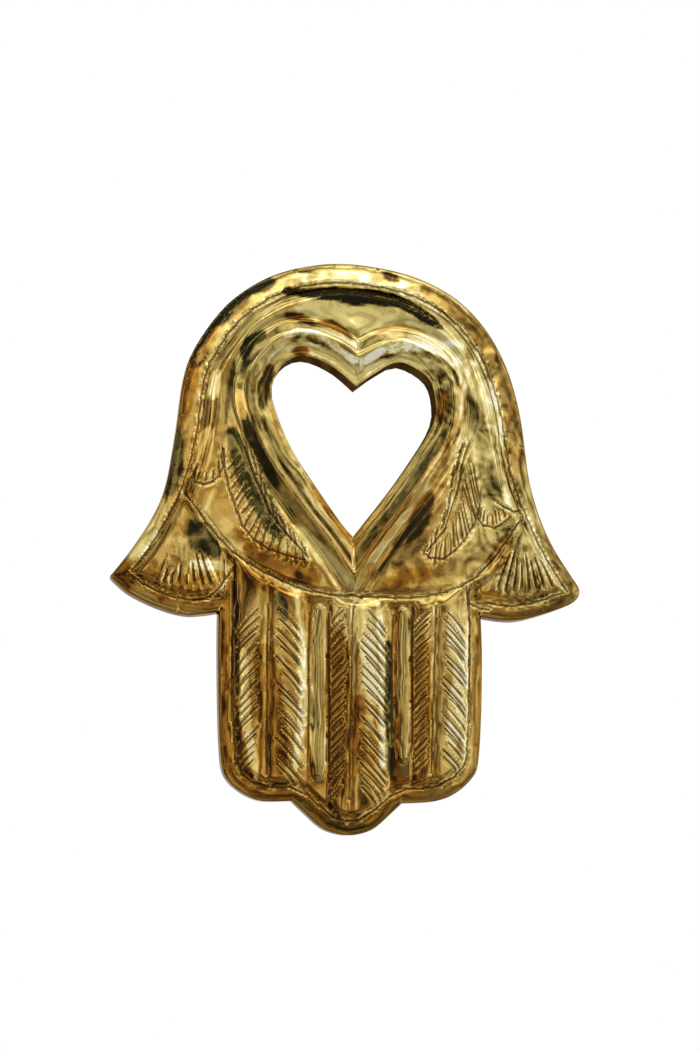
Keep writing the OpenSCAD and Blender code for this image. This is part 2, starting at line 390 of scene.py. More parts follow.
@dataclass(frozen=True)
class HandDrawing:
    """The drawing that the maker chased into the hand, in millimetres from the ring's axis.

    An oval is its middle, half width, top and low end. A leaf is its vein and its edge. A scallop
    is its cup, the point that its strokes spread from, and how many strokes it has.
    """

    palm_line: Line = (
        (-77.0, -89.5), (-71.0, -97.0), (-63.5, -107.0), (-54.0, -117.0), (-44.5, -123.0),
        (-29.5, -130.5), (-15.0, -135.0), (2.0, -136.0), (14.0, -136.5), (29.0, -136.5),
        (41.5, -134.5), (51.0, -131.0), (58.5, -127.0), (66.0, -119.5), (77.0, -104.5),
        (81.5, -97.5),
    )
    fingers: tuple[Finger, ...] = (
        Finger(-53.5, -19.6, -38.0, -38.4, -222.0, 4.1),
        Finger(-10.2, 19.0, 1.5, -1.0, -233.0, 3.7),
        Finger(28.4, 56.0, 40.2, 37.0, -221.0, 3.3),
    )
    ovals: tuple[tuple[float, float, float, float], ...] = (
        (-14.3, 3.7, -138.5, -223.0),
        (24.3, 3.7, -139.0, -215.0),
    )
    fans: tuple[Fan, ...] = (
        Fan((-75.8, -97.0), -22.0, 25.0, 8, 27.0, 38.0),
        Fan((81.5, -99.0), -27.0, 31.0, 9, 18.0, 35.0),
    )
    borders: tuple[float, ...] = (-53.8, 56.4)
    hooks: tuple[Line, ...] = (
        ((-72, -139.5), (-66, -138.8), (-59.2, -132.6), (-53, -122.2)),
        ((54.5, -131), (54.5, -136.4), (58.7, -140.2), (66, -141)),
    )
    leaves: tuple[tuple[Line, Line], ...] = (
        (
            ((-49, -68), (-41, -90.5), (-38, -97), (-32, -105), (-20.5, -117.5)),
            (
                (-59, -70), (-57.5, -82), (-52.5, -98), (-48.5, -107), (-41, -113.5),
                (-31, -117.5), (-19, -120),
            ),
        ),
        (
            ((57, -62), (52, -78), (49.5, -92), (44, -106), (36, -115)),
            ((62, -84), (61, -97), (55, -107.5), (48, -115.5), (41, -119.5), (35, -116)),
        ),
    )
    scallops: tuple[tuple[Line, Spot, int], ...] = (
        (
            (
                (-70.6, -76.7), (-73.4, -83.8), (-68.2, -86.2), (-60.6, -82), (-58.3, -73.9),
                (-59.2, -67.7),
            ),
            (-62, -56), 7,
        ),
        (
            ((57.8, -93.8), (61.1, -100.4), (66.8, -103.3), (72, -100.9), (76.3, -97.1)),
            (66, -72), 8,
        ),
        (((69.2, -90.5), (74.4, -94.3), (80, -95.7), (81.5, -92.4)), (75.5, -78), 0),
    )
    finger_top: float = -140.0
    rim_dome: float = 9.5
    rim_low: float = 6.2
    seed: int = 7

    def palm_height(self, x: Array) -> Array:
        """Height of the palm line at each place across.

        Args:
            x: Places across, in millimetres.

        Returns:
            Heights in millimetres, also past both ends of the line.
        """
        line = np.array(self.palm_line)
        xs = np.concatenate([[-120, -84], line[:, 0], [87, 120]])
        zs = np.concatenate([[-20, -62], line[:, 1], [-62, -20]])
        return np.interp(x, xs, zs)

    def vein_x(self, finger: Finger, z: Array) -> Array:
        """Where a finger's vein lies at each height."""
        t = np.clip((z - self.finger_top) / (finger.low_z - self.finger_top), 0, 1)
        return finger.vein_top + (finger.vein_low - finger.vein_top) * t

    def rim(self, z: Array) -> Array:
        """Width of the flat rim at each height."""
        return self.rim_low + (self.rim_dome - self.rim_low) * smooth(-105, -60, z)


@dataclass
class PaintedReflections:
    """Painted reflections of the polish, light and dark, that lie along lines: points, half width,
    lightness and warmth.
    """

    streaks: tuple[tuple[Line, float, float, float], ...] = (
        (((-22, -1), (2, -2), (26, -7), (45, -18), (55, -33)), 6.6, 0.76, 0.1),
        (((-26, 14), (-3, 17), (16, 15), (37, 9)), 2.4, 0.76, 0.15),
        (
            ((-30, 8), (-19, 6.5), (-8, 7), (2, 5), (9, 6), (21, 5), (31, 0), (43, -8)),
            3.1, -0.1, 0.05,
        ),
        (((-25, 18), (-7, 20)), 1.5, 0.1, 0.1),
        (((-49, 7), (-36, 12)), 2.4, 0.08, 0.1),
        (((-63, -9), (-58, -2), (-49, 5)), 3.9, 0.03, 0.1),
        (((-72, -29), (-69, -20), (-63, -11)), 3.2, 0.06, 0.3),
        (((-71, -27), (-66, -18), (-62, -11)), 1.9, 0.62, 0.7),
        (((-81, -61), (-78, -45), (-73, -31)), 3.8, 0.3, 0.85),
        (((-56, -14), (-49, -5), (-38, 3)), 5.2, 0.6, 0.45),
        (((-50, -25), (-47, -18), (-41, -14)), 2.6, 0.08, 0.05),
        (((-61, -61), (-62, -44), (-59, -28), (-54, -18)), 3.8, 0.46, 0.5),
        (((-64, -45), (-62, -33)), 1.9, 0.84, 0.3),
        (((-58, -57), (-57, -42), (-54, -27)), 0.9, 0.14, 0.3),
        (((-46, -57), (-47, -43), (-44, -30)), 2.4, 0.36, 0.35),
        (((-52, -42), (-50, -54)), 1.9, 0.72, 0.55),
        (((-30, -5), (-24, -5), (-17, -8), (-9, -8), (-3, -11), (1, -15)), 1.7, 0.2, 0.95),
        (((12, -10), (26, -9), (35, -10)), 1.9, 0.55, 0.6),
        (((-31, -15), (-24, -12), (-16, -13), (-8, -18), (0, -24), (5, -26)), 1.3, 1, 0.05),
        (((-27, -16), (-17, -16), (-9, -21), (0, -27)), 0.9, 0.12, 0.1),
        (((8, -25), (16, -19), (26, -18), (37, -19), (45, -24)), 1.9, 0.99, 0.05),
        (((15, -23), (26, -21), (37, -21), (45, -25), (50, -31), (52, -37)), 1.1, 0.12, 0.1),
        (((52, -38), (53, -45), (51, -55), (44, -68), (34, -82)), 1.9, 0.7, 0.6),
        (((56, -40), (54, -51), (49, -63)), 1.1, 0.28, 0.4),
        (
            ((-35, -23), (-22, -18), (-8, -23), (3, -32), (14, -28), (26, -23), (39, -26)),
            2.8, 0.74, 0.12,
        ),
        (((-41, -49), (-40, -38), (-37, -29)), 2.1, 0.13, 0.4),
        (((-26, -21), (-20, -21)), 1.9, 0.25, 0.95),
        (((43, -38), (45, -45), (44, -54)), 2.4, 0.24, 0.75),
        (((48, -16), (59, -27), (66, -42), (70, -57)), 4.7, 0.8, 0.12),
        (((63, -18), (69, -31)), 0.9, 0.18, 0.4),
        (((55, -18), (59, -24)), 1.4, 0.3, 0.2),
        (((36, 11), (58, -4), (71, -21), (77, -41), (80, -61), (81, -84)), 3.9, 0.33, 0.5),
        (((-24, 19), (0, 21), (18, 18)), 1.8, 0.62, 0.15),
        (((17, 18), (23, 15)), 1.5, 0.1, 0.6),
        (((-80, -60), (-80, -74), (-83, -90)), 2.8, 0.18, 0.1),
        (((-87, -90), (-84, -82)), 1.6, 0.2, 0.1),
        (((-70, -74), (-68, -65), (-66, -60)), 2.1, 0.74, 0.6),
        (((-71, -79), (-62, -68)), 3.3, 0.55, 0.6),
        (((-55, -61), (-48, -79), (-40, -95), (-33, -108)), 4.7, 0.15, 0.12),
        (((-45, -54), (-40, -75), (-33, -90), (-26, -102)), 1.9, 0.3, 0.3),
        (((-37, -68), (-27, -91), (-11, -114), (0, -129)), 2.8, 0.48, 0.45),
        (((-40, -54), (-29, -75), (-22, -85)), 2.4, 0.34, 0.3),
        (((-16, -84), (-8, -98), (2, -112)), 2.4, 0.42, 0.8),
        (((-71, -89), (-62, -103), (-50, -117)), 3.8, 0.56, 0.55),
        (((-46, -115), (-34, -121), (-16, -128)), 5.6, 0.27, 1),
        (((-50, -125), (-31, -136)), 3.3, 0.36, 0.95),
        (((-22, -106), (-8, -121), (2, -133)), 2.4, 0.62, 0.25),
        (((-87, -95), (-93, -108), (-99, -120)), 3.8, 0.74, 0.2),
        (((-78, -96), (-82, -117)), 2.4, 0.5, 0.55),
        (((-72, -104), (-69, -111), (-62, -116)), 5.2, 0.16, 0.1),
        (((-73, -123), (-56, -124)), 1.9, 0.78, 0.25),
        (((-79, -132), (-62, -131)), 3.8, 0.4, 0.85),
        (((-111, -131), (-106, -124), (-101, -133)), 3.8, 0.32, 1),
        (((-99, -134), (-87, -142), (-67, -145)), 2.4, 0.55, 0.55),
        (((-57, -136), (-57, -155), (-56, -222)), 2.8, 0.36, 0.85),
        (((-49, -162), (-48, -191), (-43, -219)), 2, 0.74, 0.5),
        (((-40, -162), (-37, -184), (-33, -215)), 5.2, 0.28, 0.95),
        (((-33, -138), (-30, -147)), 2.8, 0.13, 0.1),
        (((-42, -139), (-43, -155)), 3.3, 0.5, 0.55),
        (((-25, -136), (-22, -155), (-21, -184), (-25, -216)), 1.6, 0.79, 0.3),
        (((-18, -144), (-18, -219)), 0.9, 0.3, 0.9),
        (((-15, -142), (-16, -184), (-14, -219)), 2.6, 0.47, 0.25),
        (((-6, -155), (-5, -189), (-5, -226)), 4.7, 0.26, 0.95),
        (((-5, -136), (-4, -148)), 3.3, 0.56, 0.35),
        (((5, -140), (8, -158), (11, -184)), 3.4, 0.7, 0.25),
        (((3, -184), (3, -203), (2, -215)), 3.8, 0.33, 0.95),
        (((4, -219), (7, -231)), 3.8, 0.36, 0.6),
        (((13, -139), (15, -162), (15, -193), (15, -215)), 1.3, 0.84, 0.25),
        (((18, -158), (18, -184), (19, -219)), 1.8, 0.11, 0.1),
        (((22, -141), (21, -222)), 0.9, 0.34, 0.95),
        (((25, -144), (25, -184), (26, -217)), 2.2, 0.46, 0.35),
        (((33, -155), (33, -184), (34, -215)), 3.8, 0.32, 0.8),
        (((41, -141), (42, -184), (42, -212)), 1.9, 0.45, 0.45),
        (((48, -142), (52, -170), (47, -205)), 3.6, 0.74, 0.4),
        (((56, -155), (56, -184), (53, -212)), 1.4, 0.68, 0.5),
        (((60, -146), (60, -212)), 1.9, 0.42, 0.6),
        (((-54, -226), (-38, -234), (-23, -231)), 2.8, 0.4, 0.75),
        (((-22, -230), (-12, -242), (0, -245), (14, -242), (24, -231)), 2.4, 0.4, 0.55),
        (((26, -230), (45, -231), (57, -222)), 2.8, 0.45, 0.6),
        (((38, -88), (33, -99), (28, -109)), 3.8, 0.22, 0.65),
        (((45, -75), (31, -93), (17, -112), (4, -131)), 1.7, 0.62, 0.8),
        (((28, -89), (16, -106), (6, -118)), 1.9, 0.4, 0.75),
        (((35, -110), (23, -118), (11, -127)), 2.4, 0.3, 0.45),
        (((14, -132), (26, -127), (37, -125)), 2.8, 0.42, 0.85),
        (((45, -125), (56, -117)), 3.3, 0.46, 0.4),
        (((36, -95), (30, -104), (22, -112)), 3.0, 0.2, 0.4),
        (((47, -60), (44, -74), (37, -84)), 1.6, 0.3, 0.7),
        (((66, -102), (74, -96)), 2.8, 0.62, 1),
        (((59, -56), (68, -68), (75, -77)), 5.7, 0.6, 0.12),
        (((52, -75), (59, -89)), 4.3, 0.42, 0.4),
        (((73, -88), (77, -92)), 1.6, 0.94, 0),
        (((75, -61), (79, -89), (82, -103)), 2.4, 0.38, 0.45),
        (((73, -117), (87, -136), (101, -136)), 6.6, 0.4, 0.4),
        (((82, -103), (87, -115), (92, -125)), 2.4, 0.62, 0.25),
        (((75, -108), (67, -122)), 3.3, 0.3, 0.6),
        (((94, -106), (102, -122), (106, -133)), 2.8, 0.34, 0.4),
        (((59, -144), (78, -145), (101, -137)), 2.4, 0.38, 0.5),
        (((59, -133), (73, -136)), 1.9, 0.5, 0.95),
    )
    ragged: float = 0.55
    cover: float = 0.92

    def lay(self, places: Array, painted_tone: Array, warmth: Array) -> Array:
        """Lays the painted reflection streaks over the painted lightness and warmth of the sheet,
        in place.

        Args:
            places: Places in millimetres, one a row.
            painted_tone: Painted lightness at each place.
            warmth: How amber the brass is at each place, from 0 to 1.

        Returns:
            How much painted sparkle each place gets, from 0 to 1.
        """
        glint = np.zeros(len(places))
        x, z = places[:, 0], places[:, 1]
        torn = self.ragged * (lattice_noise(x, z, 8.0, 41) + 0.5 * lattice_noise(z, x, 3.4, 42))
        for points, width, light, warm in self.streaks:
            away = np.full(len(places), np.inf)
            along = np.zeros(len(places))
            line = np.array(points, float)
            for i, (a, b) in enumerate(zip(line[:-1], line[1:])):
                t, d = to_segment(places, a, b)
                along = np.where(d < away, (i + t) / (len(line) - 1), along)
                away = np.minimum(away, d)
            slim = 0.6 + 0.6 * np.sqrt(4 * along * (1 - along))
            past = away - width * slim - torn * min(1.6, 0.4 + width / 3)
            share = self.cover * smooth(0.5, -0.5, past)
            painted_tone += share * (light + 0.3 * (painted_tone - 0.55) - painted_tone)
            warmth += share * (warm - warmth)
            # Painted sparkle goes with the brightest painted glints and the darkest painted
            # reflection strips.
            sparkles = light > 0.97 or light < 0.08
            glint = np.maximum(glint * (1 - share), share) if sparkles else glint * (1 - share)
        return glint


@dataclass(frozen=True)
class Relief:
    """The raised work of the front, in millimetres over the sheet."""

    drawing: HandDrawing
    outline: Contour
    heart: Contour
    ridge_at: float = 9.7
    ridge_lean: float = 0.034
    ridge_h: float = 4.9
    ridge_in: float = 3.4
    ridge_out: float = 3.9
    bank_h: float = 2.6
    crest_in: float = 6.0
    crest_w: float = 6.5
    crest_h: float = 4.5
    palm_h: float = 2.7
    trough_at: float = 7.5
    trough_w: float = 2.6
    trough_d: float = 0.9
    finger_h: float = 4.2
    vein_w: float = 2.2
    vein_d: float = 0.7
    oval_h: float = 3.1
    valley_h: float = 1.3
    thumb_h: float = 2.9
    pleat_h: float = 0.8
    seam_w: float = 1.8
    seam_d: float = 0.45
    rim_h: float = 0.45
    mitre: float = 38.0

    def heart_distance(self, places: Array) -> Array:
        """Distance from the heart's edge, mitred under its point.

        Args:
            places: Places in millimetres, one a row.

        Returns:
            Distances in millimetres.
        """
        away = -self.heart.inside(places)[0]
        points = self.heart.points
        tip = points[int(np.argmin(points[:, 1]))]
        low = points[:, 1] < tip[1] + self.mitre
        legs = []
        for leg in (points[(points[:, 0] < tip[0]) & low], points[(points[:, 0] > tip[0]) & low]):
            far = leg[int(np.argmax(leg[:, 1]))]
            way = (tip - far) / np.linalg.norm(tip - far)
            across = np.array([-way[1], way[0]])
            legs.append((places - tip) @ (across if across[1] < 0 else -across))
        share = smooth(tip[1] + 14, tip[1] + 2, places[:, 1])
        return away * (1 - share) + np.maximum(*legs) * share

    def height(self, places: Array) -> Array:
        """Height of the raised work over the sheet.

        Args:
            places: Places in millimetres, one a row.

        Returns:
            Heights in millimetres.
        """
        x, z = places.T
        from_rim = self.outline.inside(places)[0]
        from_heart = self.heart_distance(places)
        thumbs = np.full(len(x), self.thumb_h)
        for fan in self.drawing.fans:
            thumbs += self.pleats(places, fan)
        block = smooth(-60, -56.5, x) * (1 - smooth(58, 61.5, x))
        lower = thumbs * (1 - block) + self.fingers(x, z) * block
        below = self.drawing.palm_height(x) - z
        share = smooth(0.3, 6, below)
        height = self.palm(x, z, from_rim, from_heart) * (1 - share) + lower * share
        height -= self.seam_d * bell(below, self.seam_w) * smooth(2, 8, from_rim)
        rim = self.drawing.rim(z)
        rise = smooth(rim - 1.2, rim + 4.2, from_rim)
        swell = self.rim_h * smooth(0.5, 4, from_rim)
        height = swell + rise * np.maximum(height - self.rim_h, -0.2)
        return height * (smooth(0, 5, from_heart) * 0.75 + 0.25 * smooth(0, 1.5, from_heart))

    def palm(self, x: Array, z: Array, from_rim: Array, from_heart: Array) -> Array:
        """The bank and ridge round the heart, and the palm's crest along the rim.

        Args:
            x: Places across.
            z: Places up.
            from_rim: Their distances from the outline.
            from_heart: Their distances from the heart's edge.

        Returns:
            Heights in millimetres.
        """
        ridge_at = self.ridge_at - self.ridge_lean * x + 0.9 * lattice_noise(x, z, 22, 3)
        side = from_heart - ridge_at
        ridge = bell(side, np.where(side < 0, self.ridge_in, self.ridge_out))
        bank = self.bank_h * np.clip(from_heart / np.maximum(4, ridge_at), 0, 1) ** 1.6
        rim = self.drawing.rim(z)
        crest_at = rim + self.crest_in + 0.8 * lattice_noise(x, z, 26, 5)
        crest = bell(from_rim - crest_at, self.crest_w)
        band = self.palm_h * smooth(rim - 0.5, rim + 8, from_rim)
        band = band + (self.crest_h - self.palm_h) * crest * smooth(-1, 4, from_rim - rim)
        over = smooth(-1.5, 3.0, side)
        palm = np.maximum(bank * (1 - over) + band * over, 0)
        palm = palm + (self.ridge_h - self.bank_h) * ridge
        trough = self.trough_d * bell(side - self.trough_at, self.trough_w)
        return palm - trough * smooth(8, 16, from_rim)

    def fingers(self, x: Array, z: Array) -> Array:
        """The three fingers, and the slender ridges in the valleys between them.

        Args:
            x: Places across.
            z: Places up.

        Returns:
            Heights in millimetres.
        """
        height = np.zeros(len(x))
        for f in self.drawing.fingers:
            vein = self.drawing.vein_x(f, z)
            half = np.where(x < vein, vein - f.left, f.right - vein)
            u = np.clip(np.abs(x - vein) / half, 0, 1)
            body = np.sqrt(np.clip(1 - u**2.6, 0, 1)) * self.finger_h
            dip = self.vein_d * bell(x - vein, self.vein_w)
            height = np.maximum(height, np.where(u < 1, body - dip, 0))
        for mid, half, top, low in self.drawing.ovals:
            narrow = smooth(0, 9, top - z) * smooth(0, 12, z - low)
            sway = 0.5 * lattice_noise(z, z, 18, 9)
            u = np.clip(np.abs(x - mid - sway) / (half * (0.55 + 0.45 * narrow)), 0, 1)
            height = np.maximum(height, self.oval_h * np.sqrt(1 - u**2) * smooth(0, 0.25, narrow))
            valley = smooth(2.2 * half, 1.6 * half, np.abs(x - mid))
            height = np.maximum(height, self.valley_h * valley)
        return 0.5 + height * 0.9

    def pleats(self, places: Array, fan: Fan) -> Array:
        """Round pleats of one thumb's fan.

        Args:
            places: Places in millimetres, one a row.
            fan: The fan.

        Returns:
            Height that the pleats add, in millimetres.
        """
        rel = places - np.array(fan.apex)
        r = np.linalg.norm(rel, axis=1)
        angle = np.degrees(np.arctan2(rel[:, 0], -rel[:, 1]))
        t = (angle - fan.first_deg) / (fan.last_deg - fan.first_deg)
        inside = smooth(-0.03, 0.04, t) * smooth(1.03, 0.96, t)
        wave = np.abs(np.sin(np.pi * np.clip(t, 0, 1) * fan.pleats)) ** 0.7
        reach = smooth(fan.inner * 0.5, fan.outer * 0.8, r)
        reach = reach * smooth(fan.outer + 4, fan.outer - 1, r)
        return self.pleat_h * (wave - 0.6) * inside * reach

    @staticmethod
    def dents(x: Array, z: Array) -> Array:
        """Height of the hammer's dents and the sheet's small waves."""
        wide = 0.20 * lattice_noise(x + 0.6 * z, z - 0.3 * x, 15, 21)
        return wide + (0.11 * lattice_noise(x, z, 7.5, 22) + 0.05 * lattice_noise(z, x, 4.2, 23))


@dataclass
class Chasing:
    """The strokes that the maker chased over the drawing, row by row.

    The numbers given for a row are its strokes' length, half width, depth and slip.
    """

    drawing: HandDrawing
    outline: Contour
    made: Strokes = field(init=False)

    def chase(self) -> Strokes:
        """Lays every row of strokes, from the rim to the thumbs.

        Returns:
            The strokes of the whole hand.
        """
        self.made = Strokes(random.Random(self.drawing.seed))
        self.rim()
        self.made.dashes(rounded(self.drawing.palm_line, 2.0), 9.0, 0.42, 0.45, 0.22)
        for finger in self.drawing.fingers:
            self.finger(finger)
        self.borders()
        for vein, edge in self.drawing.leaves:
            self.made.dashes(rounded(vein, 2), 16, 0.5, 0.5, 0.1)
            self.made.dashes(rounded(edge, 2), 9, 0.5, 0.42, 0.2)
            self.barbs(rounded(vein, 1.0), rounded(edge, 1.0))
        for cup, focus, count in self.drawing.scallops:
            self.scallop(rounded(cup, 1.0), np.array(focus, float), count)
        for fan in self.drawing.fans:
            self.fan(fan)
        return self.made

    def rim(self) -> None:
        """The dashed line inside the rim, all round but for the top of the fingers."""
        width = self.drawing.rim(self.outline.points[:, 1])
        line = self.outline.points - self.outline.normals * width[:, None]
        keep = np.abs(self.outline.inside(line)[0] - width) < 0.6
        x, z = line.T
        keep &= ~((np.abs(np.abs(x) - 55) < 9) & (z > -152) & (z < -134))
        runs = np.flatnonzero(np.diff(np.concatenate([[0], keep.astype(int), [0]])))
        for a, b in zip(runs[::2], runs[1::2]):
            if b - a > 12:
                self.made.dashes(line[a:b], 8.4, 0.42, 0.42, 0.26)

    def finger(self, finger: Finger) -> None:
        """A finger's vein and the slanting strokes on both sides of it.

        Args:
            finger: The finger.
        """
        draw, pick = self.drawing, self.made.rng.uniform
        zs = np.linspace(draw.finger_top - 1, finger.low_z + 4, 22)
        vein = np.stack([draw.vein_x(finger, zs) + 0.3 * lattice_noise(zs, zs, 20, 4), zs], 1)
        self.made.dashes(vein, 15, 0.45, 0.32, 0.12)
        for side in Side:
            z = draw.finger_top - 3
            while z > finger.low_z + 8:
                root = float(draw.vein_x(finger, np.array(z)))
                half = abs((finger.left if side is Side.LEFT else finger.right) - root)
                gap = half * pick(0.22, 0.42)
                reach = half * pick(0.80, 0.92)
                a = np.array([root + side.value * gap, z])
                b = np.array([root + side.value * reach, z - (reach - gap) * pick(0.95, 1.2)])
                ends = a + (b - a) * np.linspace(1, 0.4, 13)[:, None]
                clear = self.outline.inside(ends)[0] > draw.rim_low + 0.8
                if clear.any():
                    foot = ends[int(np.argmax(clear))]
                    depth = pick(0.38, 0.6)
                    self.made.add(foot, a, pick(0.42, 0.6), depth, -side.value * pick(0.1, 0.5))
                z -= finger.pitch * pick(0.82, 1.18)

    def borders(self) -> None:
        """The upright lines down both sides of the fingers and beside the slender ridges."""
        for x in self.drawing.borders:
            line = np.array([(x + 0.2 * math.sin(z / 9), z) for z in np.arange(-130, -198, -4.0)])
            self.made.dashes(line, 17, 0.45, 0.4, 0.15)
        for hook in self.drawing.hooks:
            self.made.dashes(rounded(hook, 1.5), 8, 0.45, 0.42, 0.2)
        for mid, half, top, low in self.drawing.ovals:
            zs = np.arange(top - 6, low + 8, -4.0)
            for sign in (-1, 1):
                xs = mid + sign * (half + 0.9) + 0.4 * lattice_noise(zs, zs, 16, 8 + sign)
                self.made.dashes(np.stack([xs, zs], 1), 19, 0.5, 0.3, 0.1)

    def barbs(self, vein: Array, edge: Array) -> None:
        """Short strokes from a leaf's vein out to its edge, and shorter ones on its other side.

        Args:
            vein: Points along the vein.
            edge: Points along the edge.
        """
        pick = self.made.rng.uniform
        out = 1 if edge[:, 0].mean() < vein[:, 0].mean() else -1
        for t in np.arange(0.06, 0.97, 0.062):
            root = vein[int(t * (len(vein) - 1))]
            far = edge[int(min(1, t + 0.05) * (len(edge) - 1))]
            start = root + (far - root) * pick(0.25, 0.4)
            stop = root + (far - root) * pick(0.82, 0.95) + np.array([0, -pick(2, 4.5)])
            self.made.add(stop, start, pick(0.4, 0.6), pick(0.3, 0.5), pick(-0.6, 0.6))
            inner = root + np.array([out * pick(2.2, 3.2), pick(0.2, 1.5)])
            tail = inner + np.array([out * pick(0.5, 2.2), -pick(4.0, 7.0)])
            self.made.add(tail, inner, pick(0.4, 0.55), pick(0.2, 0.4), pick(-0.5, 0.5))

    def scallop(self, cup: Array, focus: Array, count: int) -> None:
        """A round cup's edge with strokes that fan down to it.

        Args:
            cup: Points along the cup's edge.
            focus: Point that the strokes fan out from.
            count: How many strokes fan out.
        """
        pick = self.made.rng.uniform
        self.made.dashes(cup, 5, 0.55, 0.6, 0.05)
        for t in np.linspace(0.2, 0.85, count):
            foot = cup[int(t * (len(cup) - 1))]
            way = (foot - focus) / float(np.linalg.norm(foot - focus))
            self.made.add(foot - way * 1.2, foot - way * pick(5, 8.5), 0.55, pick(0.4, 0.6))

    def fan(self, fan: Fan) -> None:
        """Grooves between a thumb's pleats.

        Args:
            fan: The thumb's fan.
        """
        pick = self.made.rng.uniform
        apex = np.array(fan.apex)
        for k in range(1, fan.pleats):
            a = math.radians(fan.first_deg + (fan.last_deg - fan.first_deg) * k / fan.pleats)
            way = np.array([math.sin(a), -math.cos(a)])
            start = apex + way * fan.inner * pick(0.8, 1.2)
            stop = apex + way * fan.outer * pick(0.9, 1.0)
            self.made.add(stop, start, 0.5, pick(0.3, 0.5), pick(-0.4, 0.4))


@dataclass
class BrassFace:
    """The brass sheet: raised relief, chisel strokes, a rolled rim, a skirt and tabs behind."""

    cell: float = 1.1
    roll: float = 1.3
    cad_roll: float = 1.1
    fold: float = 0.5
    tab_d: float = 7.0
    tab_half: float = 9.5
    tab_slant: float = 2.6
    hem: float = 1.0
    clear: float = 0.02
    # Painted shade of the skirt's sides: its lightness, then its warmth.
    skirt_painted_shade: float = 0.42
    skirt_warmth: float = 0.8
    drawing: HandDrawing = HandDrawing()
    painted_reflections: PaintedReflections = field(default_factory=PaintedReflections)

    def __post_init__(self) -> None:
        """Reads the outline, the heart and the planes from the frame."""
        low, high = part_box("backing_board")
        self.board_front, self.board_back = low[1] / MM, high[1] / MM
        low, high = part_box("brass_face")
        self.highest = -low[1] / MM
        self.tab_y = high[1] / MM
        self.face_y = self.board_front - (self.tab_y - self.board_back)
        self.width = (low[0] / MM, high[0] / MM)
        self.height = (low[2] / MM, high[2] / MM)
        skirt = loops_at("brass_face", self.face_y + self.cad_roll)
        sheet = np.array([self.width, self.height]).T
        self.outline = Contour(np.clip(spline(skirt[-1], True, 0.4), *sheet))
        self.heart = Contour(spline(loops_at("backing_board", self.board_front)[0], True, 0.3))
        self.relief = Relief(self.drawing, self.outline, self.heart)

    def painted_shading(
        self, places: Array, slope: Array, from_rim: Array
    ) -> tuple[Array, Array, Array, Array]:
        """Painted reflections and shading of the polish: how light and how warm it is painted at
        each place.

        Args:
            places: Places in millimetres, one a row.
            slope: Surface normals, one a row.
            from_rim: Distance of each place from the outline.

        Returns:
            Painted lightness and warmth, both around 0.5, then painted sparkle and how busy the
            painted reflections are, both from 0 to 1.
        """
        x, z = places[:, 0], places[:, 1]
        # Painted reflection and shade: lighter towards the upper right, and lighter where the
        # surface faces right or up.
        painted_tone = 0.48 + 0.0005 * x + 0.0006 * (z + 110)
        painted_tone += 0.40 * slope[:, 0] + 0.14 * slope[:, 2]
        warmth = 0.45 - 0.0022 * x - 0.0022 * (z + 110)
        warmth += 0.25 * lattice_noise(x, z, 24, 51)
        warmth = np.clip(warmth, 0, 1)
        glint = self.painted_reflections.lay(places, painted_tone, warmth)
        # Painted highlight: surfaces that face up are painted paler and less amber.
        warmth -= 0.5 * smooth(0.15, 0.6, slope[:, 2])
        # Painted reflections are busier on the right and below the palm line, and calmer on the
        # rim.
        reflection_unrest = (0.15 + 0.85 * smooth(30, 60, x)) * (0.15 + 0.85 * smooth(-140, -130, z))
        reflection_unrest *= 0.45 + 0.55 * smooth(8, 12, from_rim)
        return painted_tone, warmth, glint, reflection_unrest

    def build(self) -> bpy.types.Object:
        """Models the whole sheet as one piece.

        Returns:
            The brass piece.
        """
        bm = bmesh.new()
        marks = bm.verts.layers.int.new("edge_point")
        self.cut_sheet(bm)
        strokes = Chasing(self.drawing, self.outline).chase()
        self.refine(bm, strokes)
        outer, hole = self.snap_edges(bm, marks)
        self.raise_relief(bm, strokes)
        self.roll_rim(bm, outer, marks)
        self.turn_heart_edge(bm, hole, marks)
        bmesh.ops.recalc_face_normals(bm, faces=bm.faces[:])
        front = [f for f in bm.faces if abs(f.calc_center_median().y / MM - self.face_y) < 0.3]
        if sum(f.normal.y * f.calc_area() for f in front) > 0:
            bmesh.ops.reverse_faces(bm, faces=bm.faces[:])
        bmesh.ops.triangulate(bm, faces=bm.faces[:])
        obj = finish_mesh(bm, "chased_brass_face")
        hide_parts("brass_face")
        return obj

    def cut_sheet(self, bm: BMesh) -> None:
        """Cuts a fine grid to the outline and the heart.

        Args:
            bm: The mesh to fill.
        """
        (left, right), (low, high) = self.width, self.height
        middle = Vector(((left + right) / 2 * MM, 0, (low + high) / 2 * MM))
        turn = Matrix.Rotation(math.radians(90), 4, "X")
        size = Matrix.Diagonal(((right - left) * MM, (high - low) * MM, 1, 1))
        bmesh.ops.create_grid(
            bm,
            x_segments=round((right - left) / self.cell),
            y_segments=round((high - low) / self.cell),
            size=0.5,
            matrix=Matrix.Translation(middle) @ turn @ size,
        )
        places = plan_of(bm)
        from_rim = self.outline.inside(places)[0] - self.roll
        from_heart = -self.heart.inside(places)[0]
        spare = -0.35 * self.cell
        outside = (from_rim < spare) | (from_heart < spare)
        verts = [v for v, out in zip(bm.verts, outside) if out]
        bmesh.ops.delete(bm, geom=verts, context="VERTS")
        stray = [v for v in bm.verts if len(v.link_faces) == 0]
        bmesh.ops.delete(bm, geom=stray, context="VERTS")

    @staticmethod
    def refine(bm: BMesh, strokes: Strokes) -> None:
        """Halves the cells near the chisel strokes, and halves those in the strokes again.

        Args:
            bm: The sheet.
            strokes: The chisel strokes.
        """
        for within in (1.3, 0.66):
            close = strokes.nearness(plan_of(bm), within)
            edges = [
                e for e in bm.edges
                if not e.is_boundary and close[e.verts[0].index] and close[e.verts[1].index]
            ]
            bmesh.ops.subdivide_edges(bm, edges=edges, cuts=1, use_grid_fill=True)
            bm.verts.index_update()

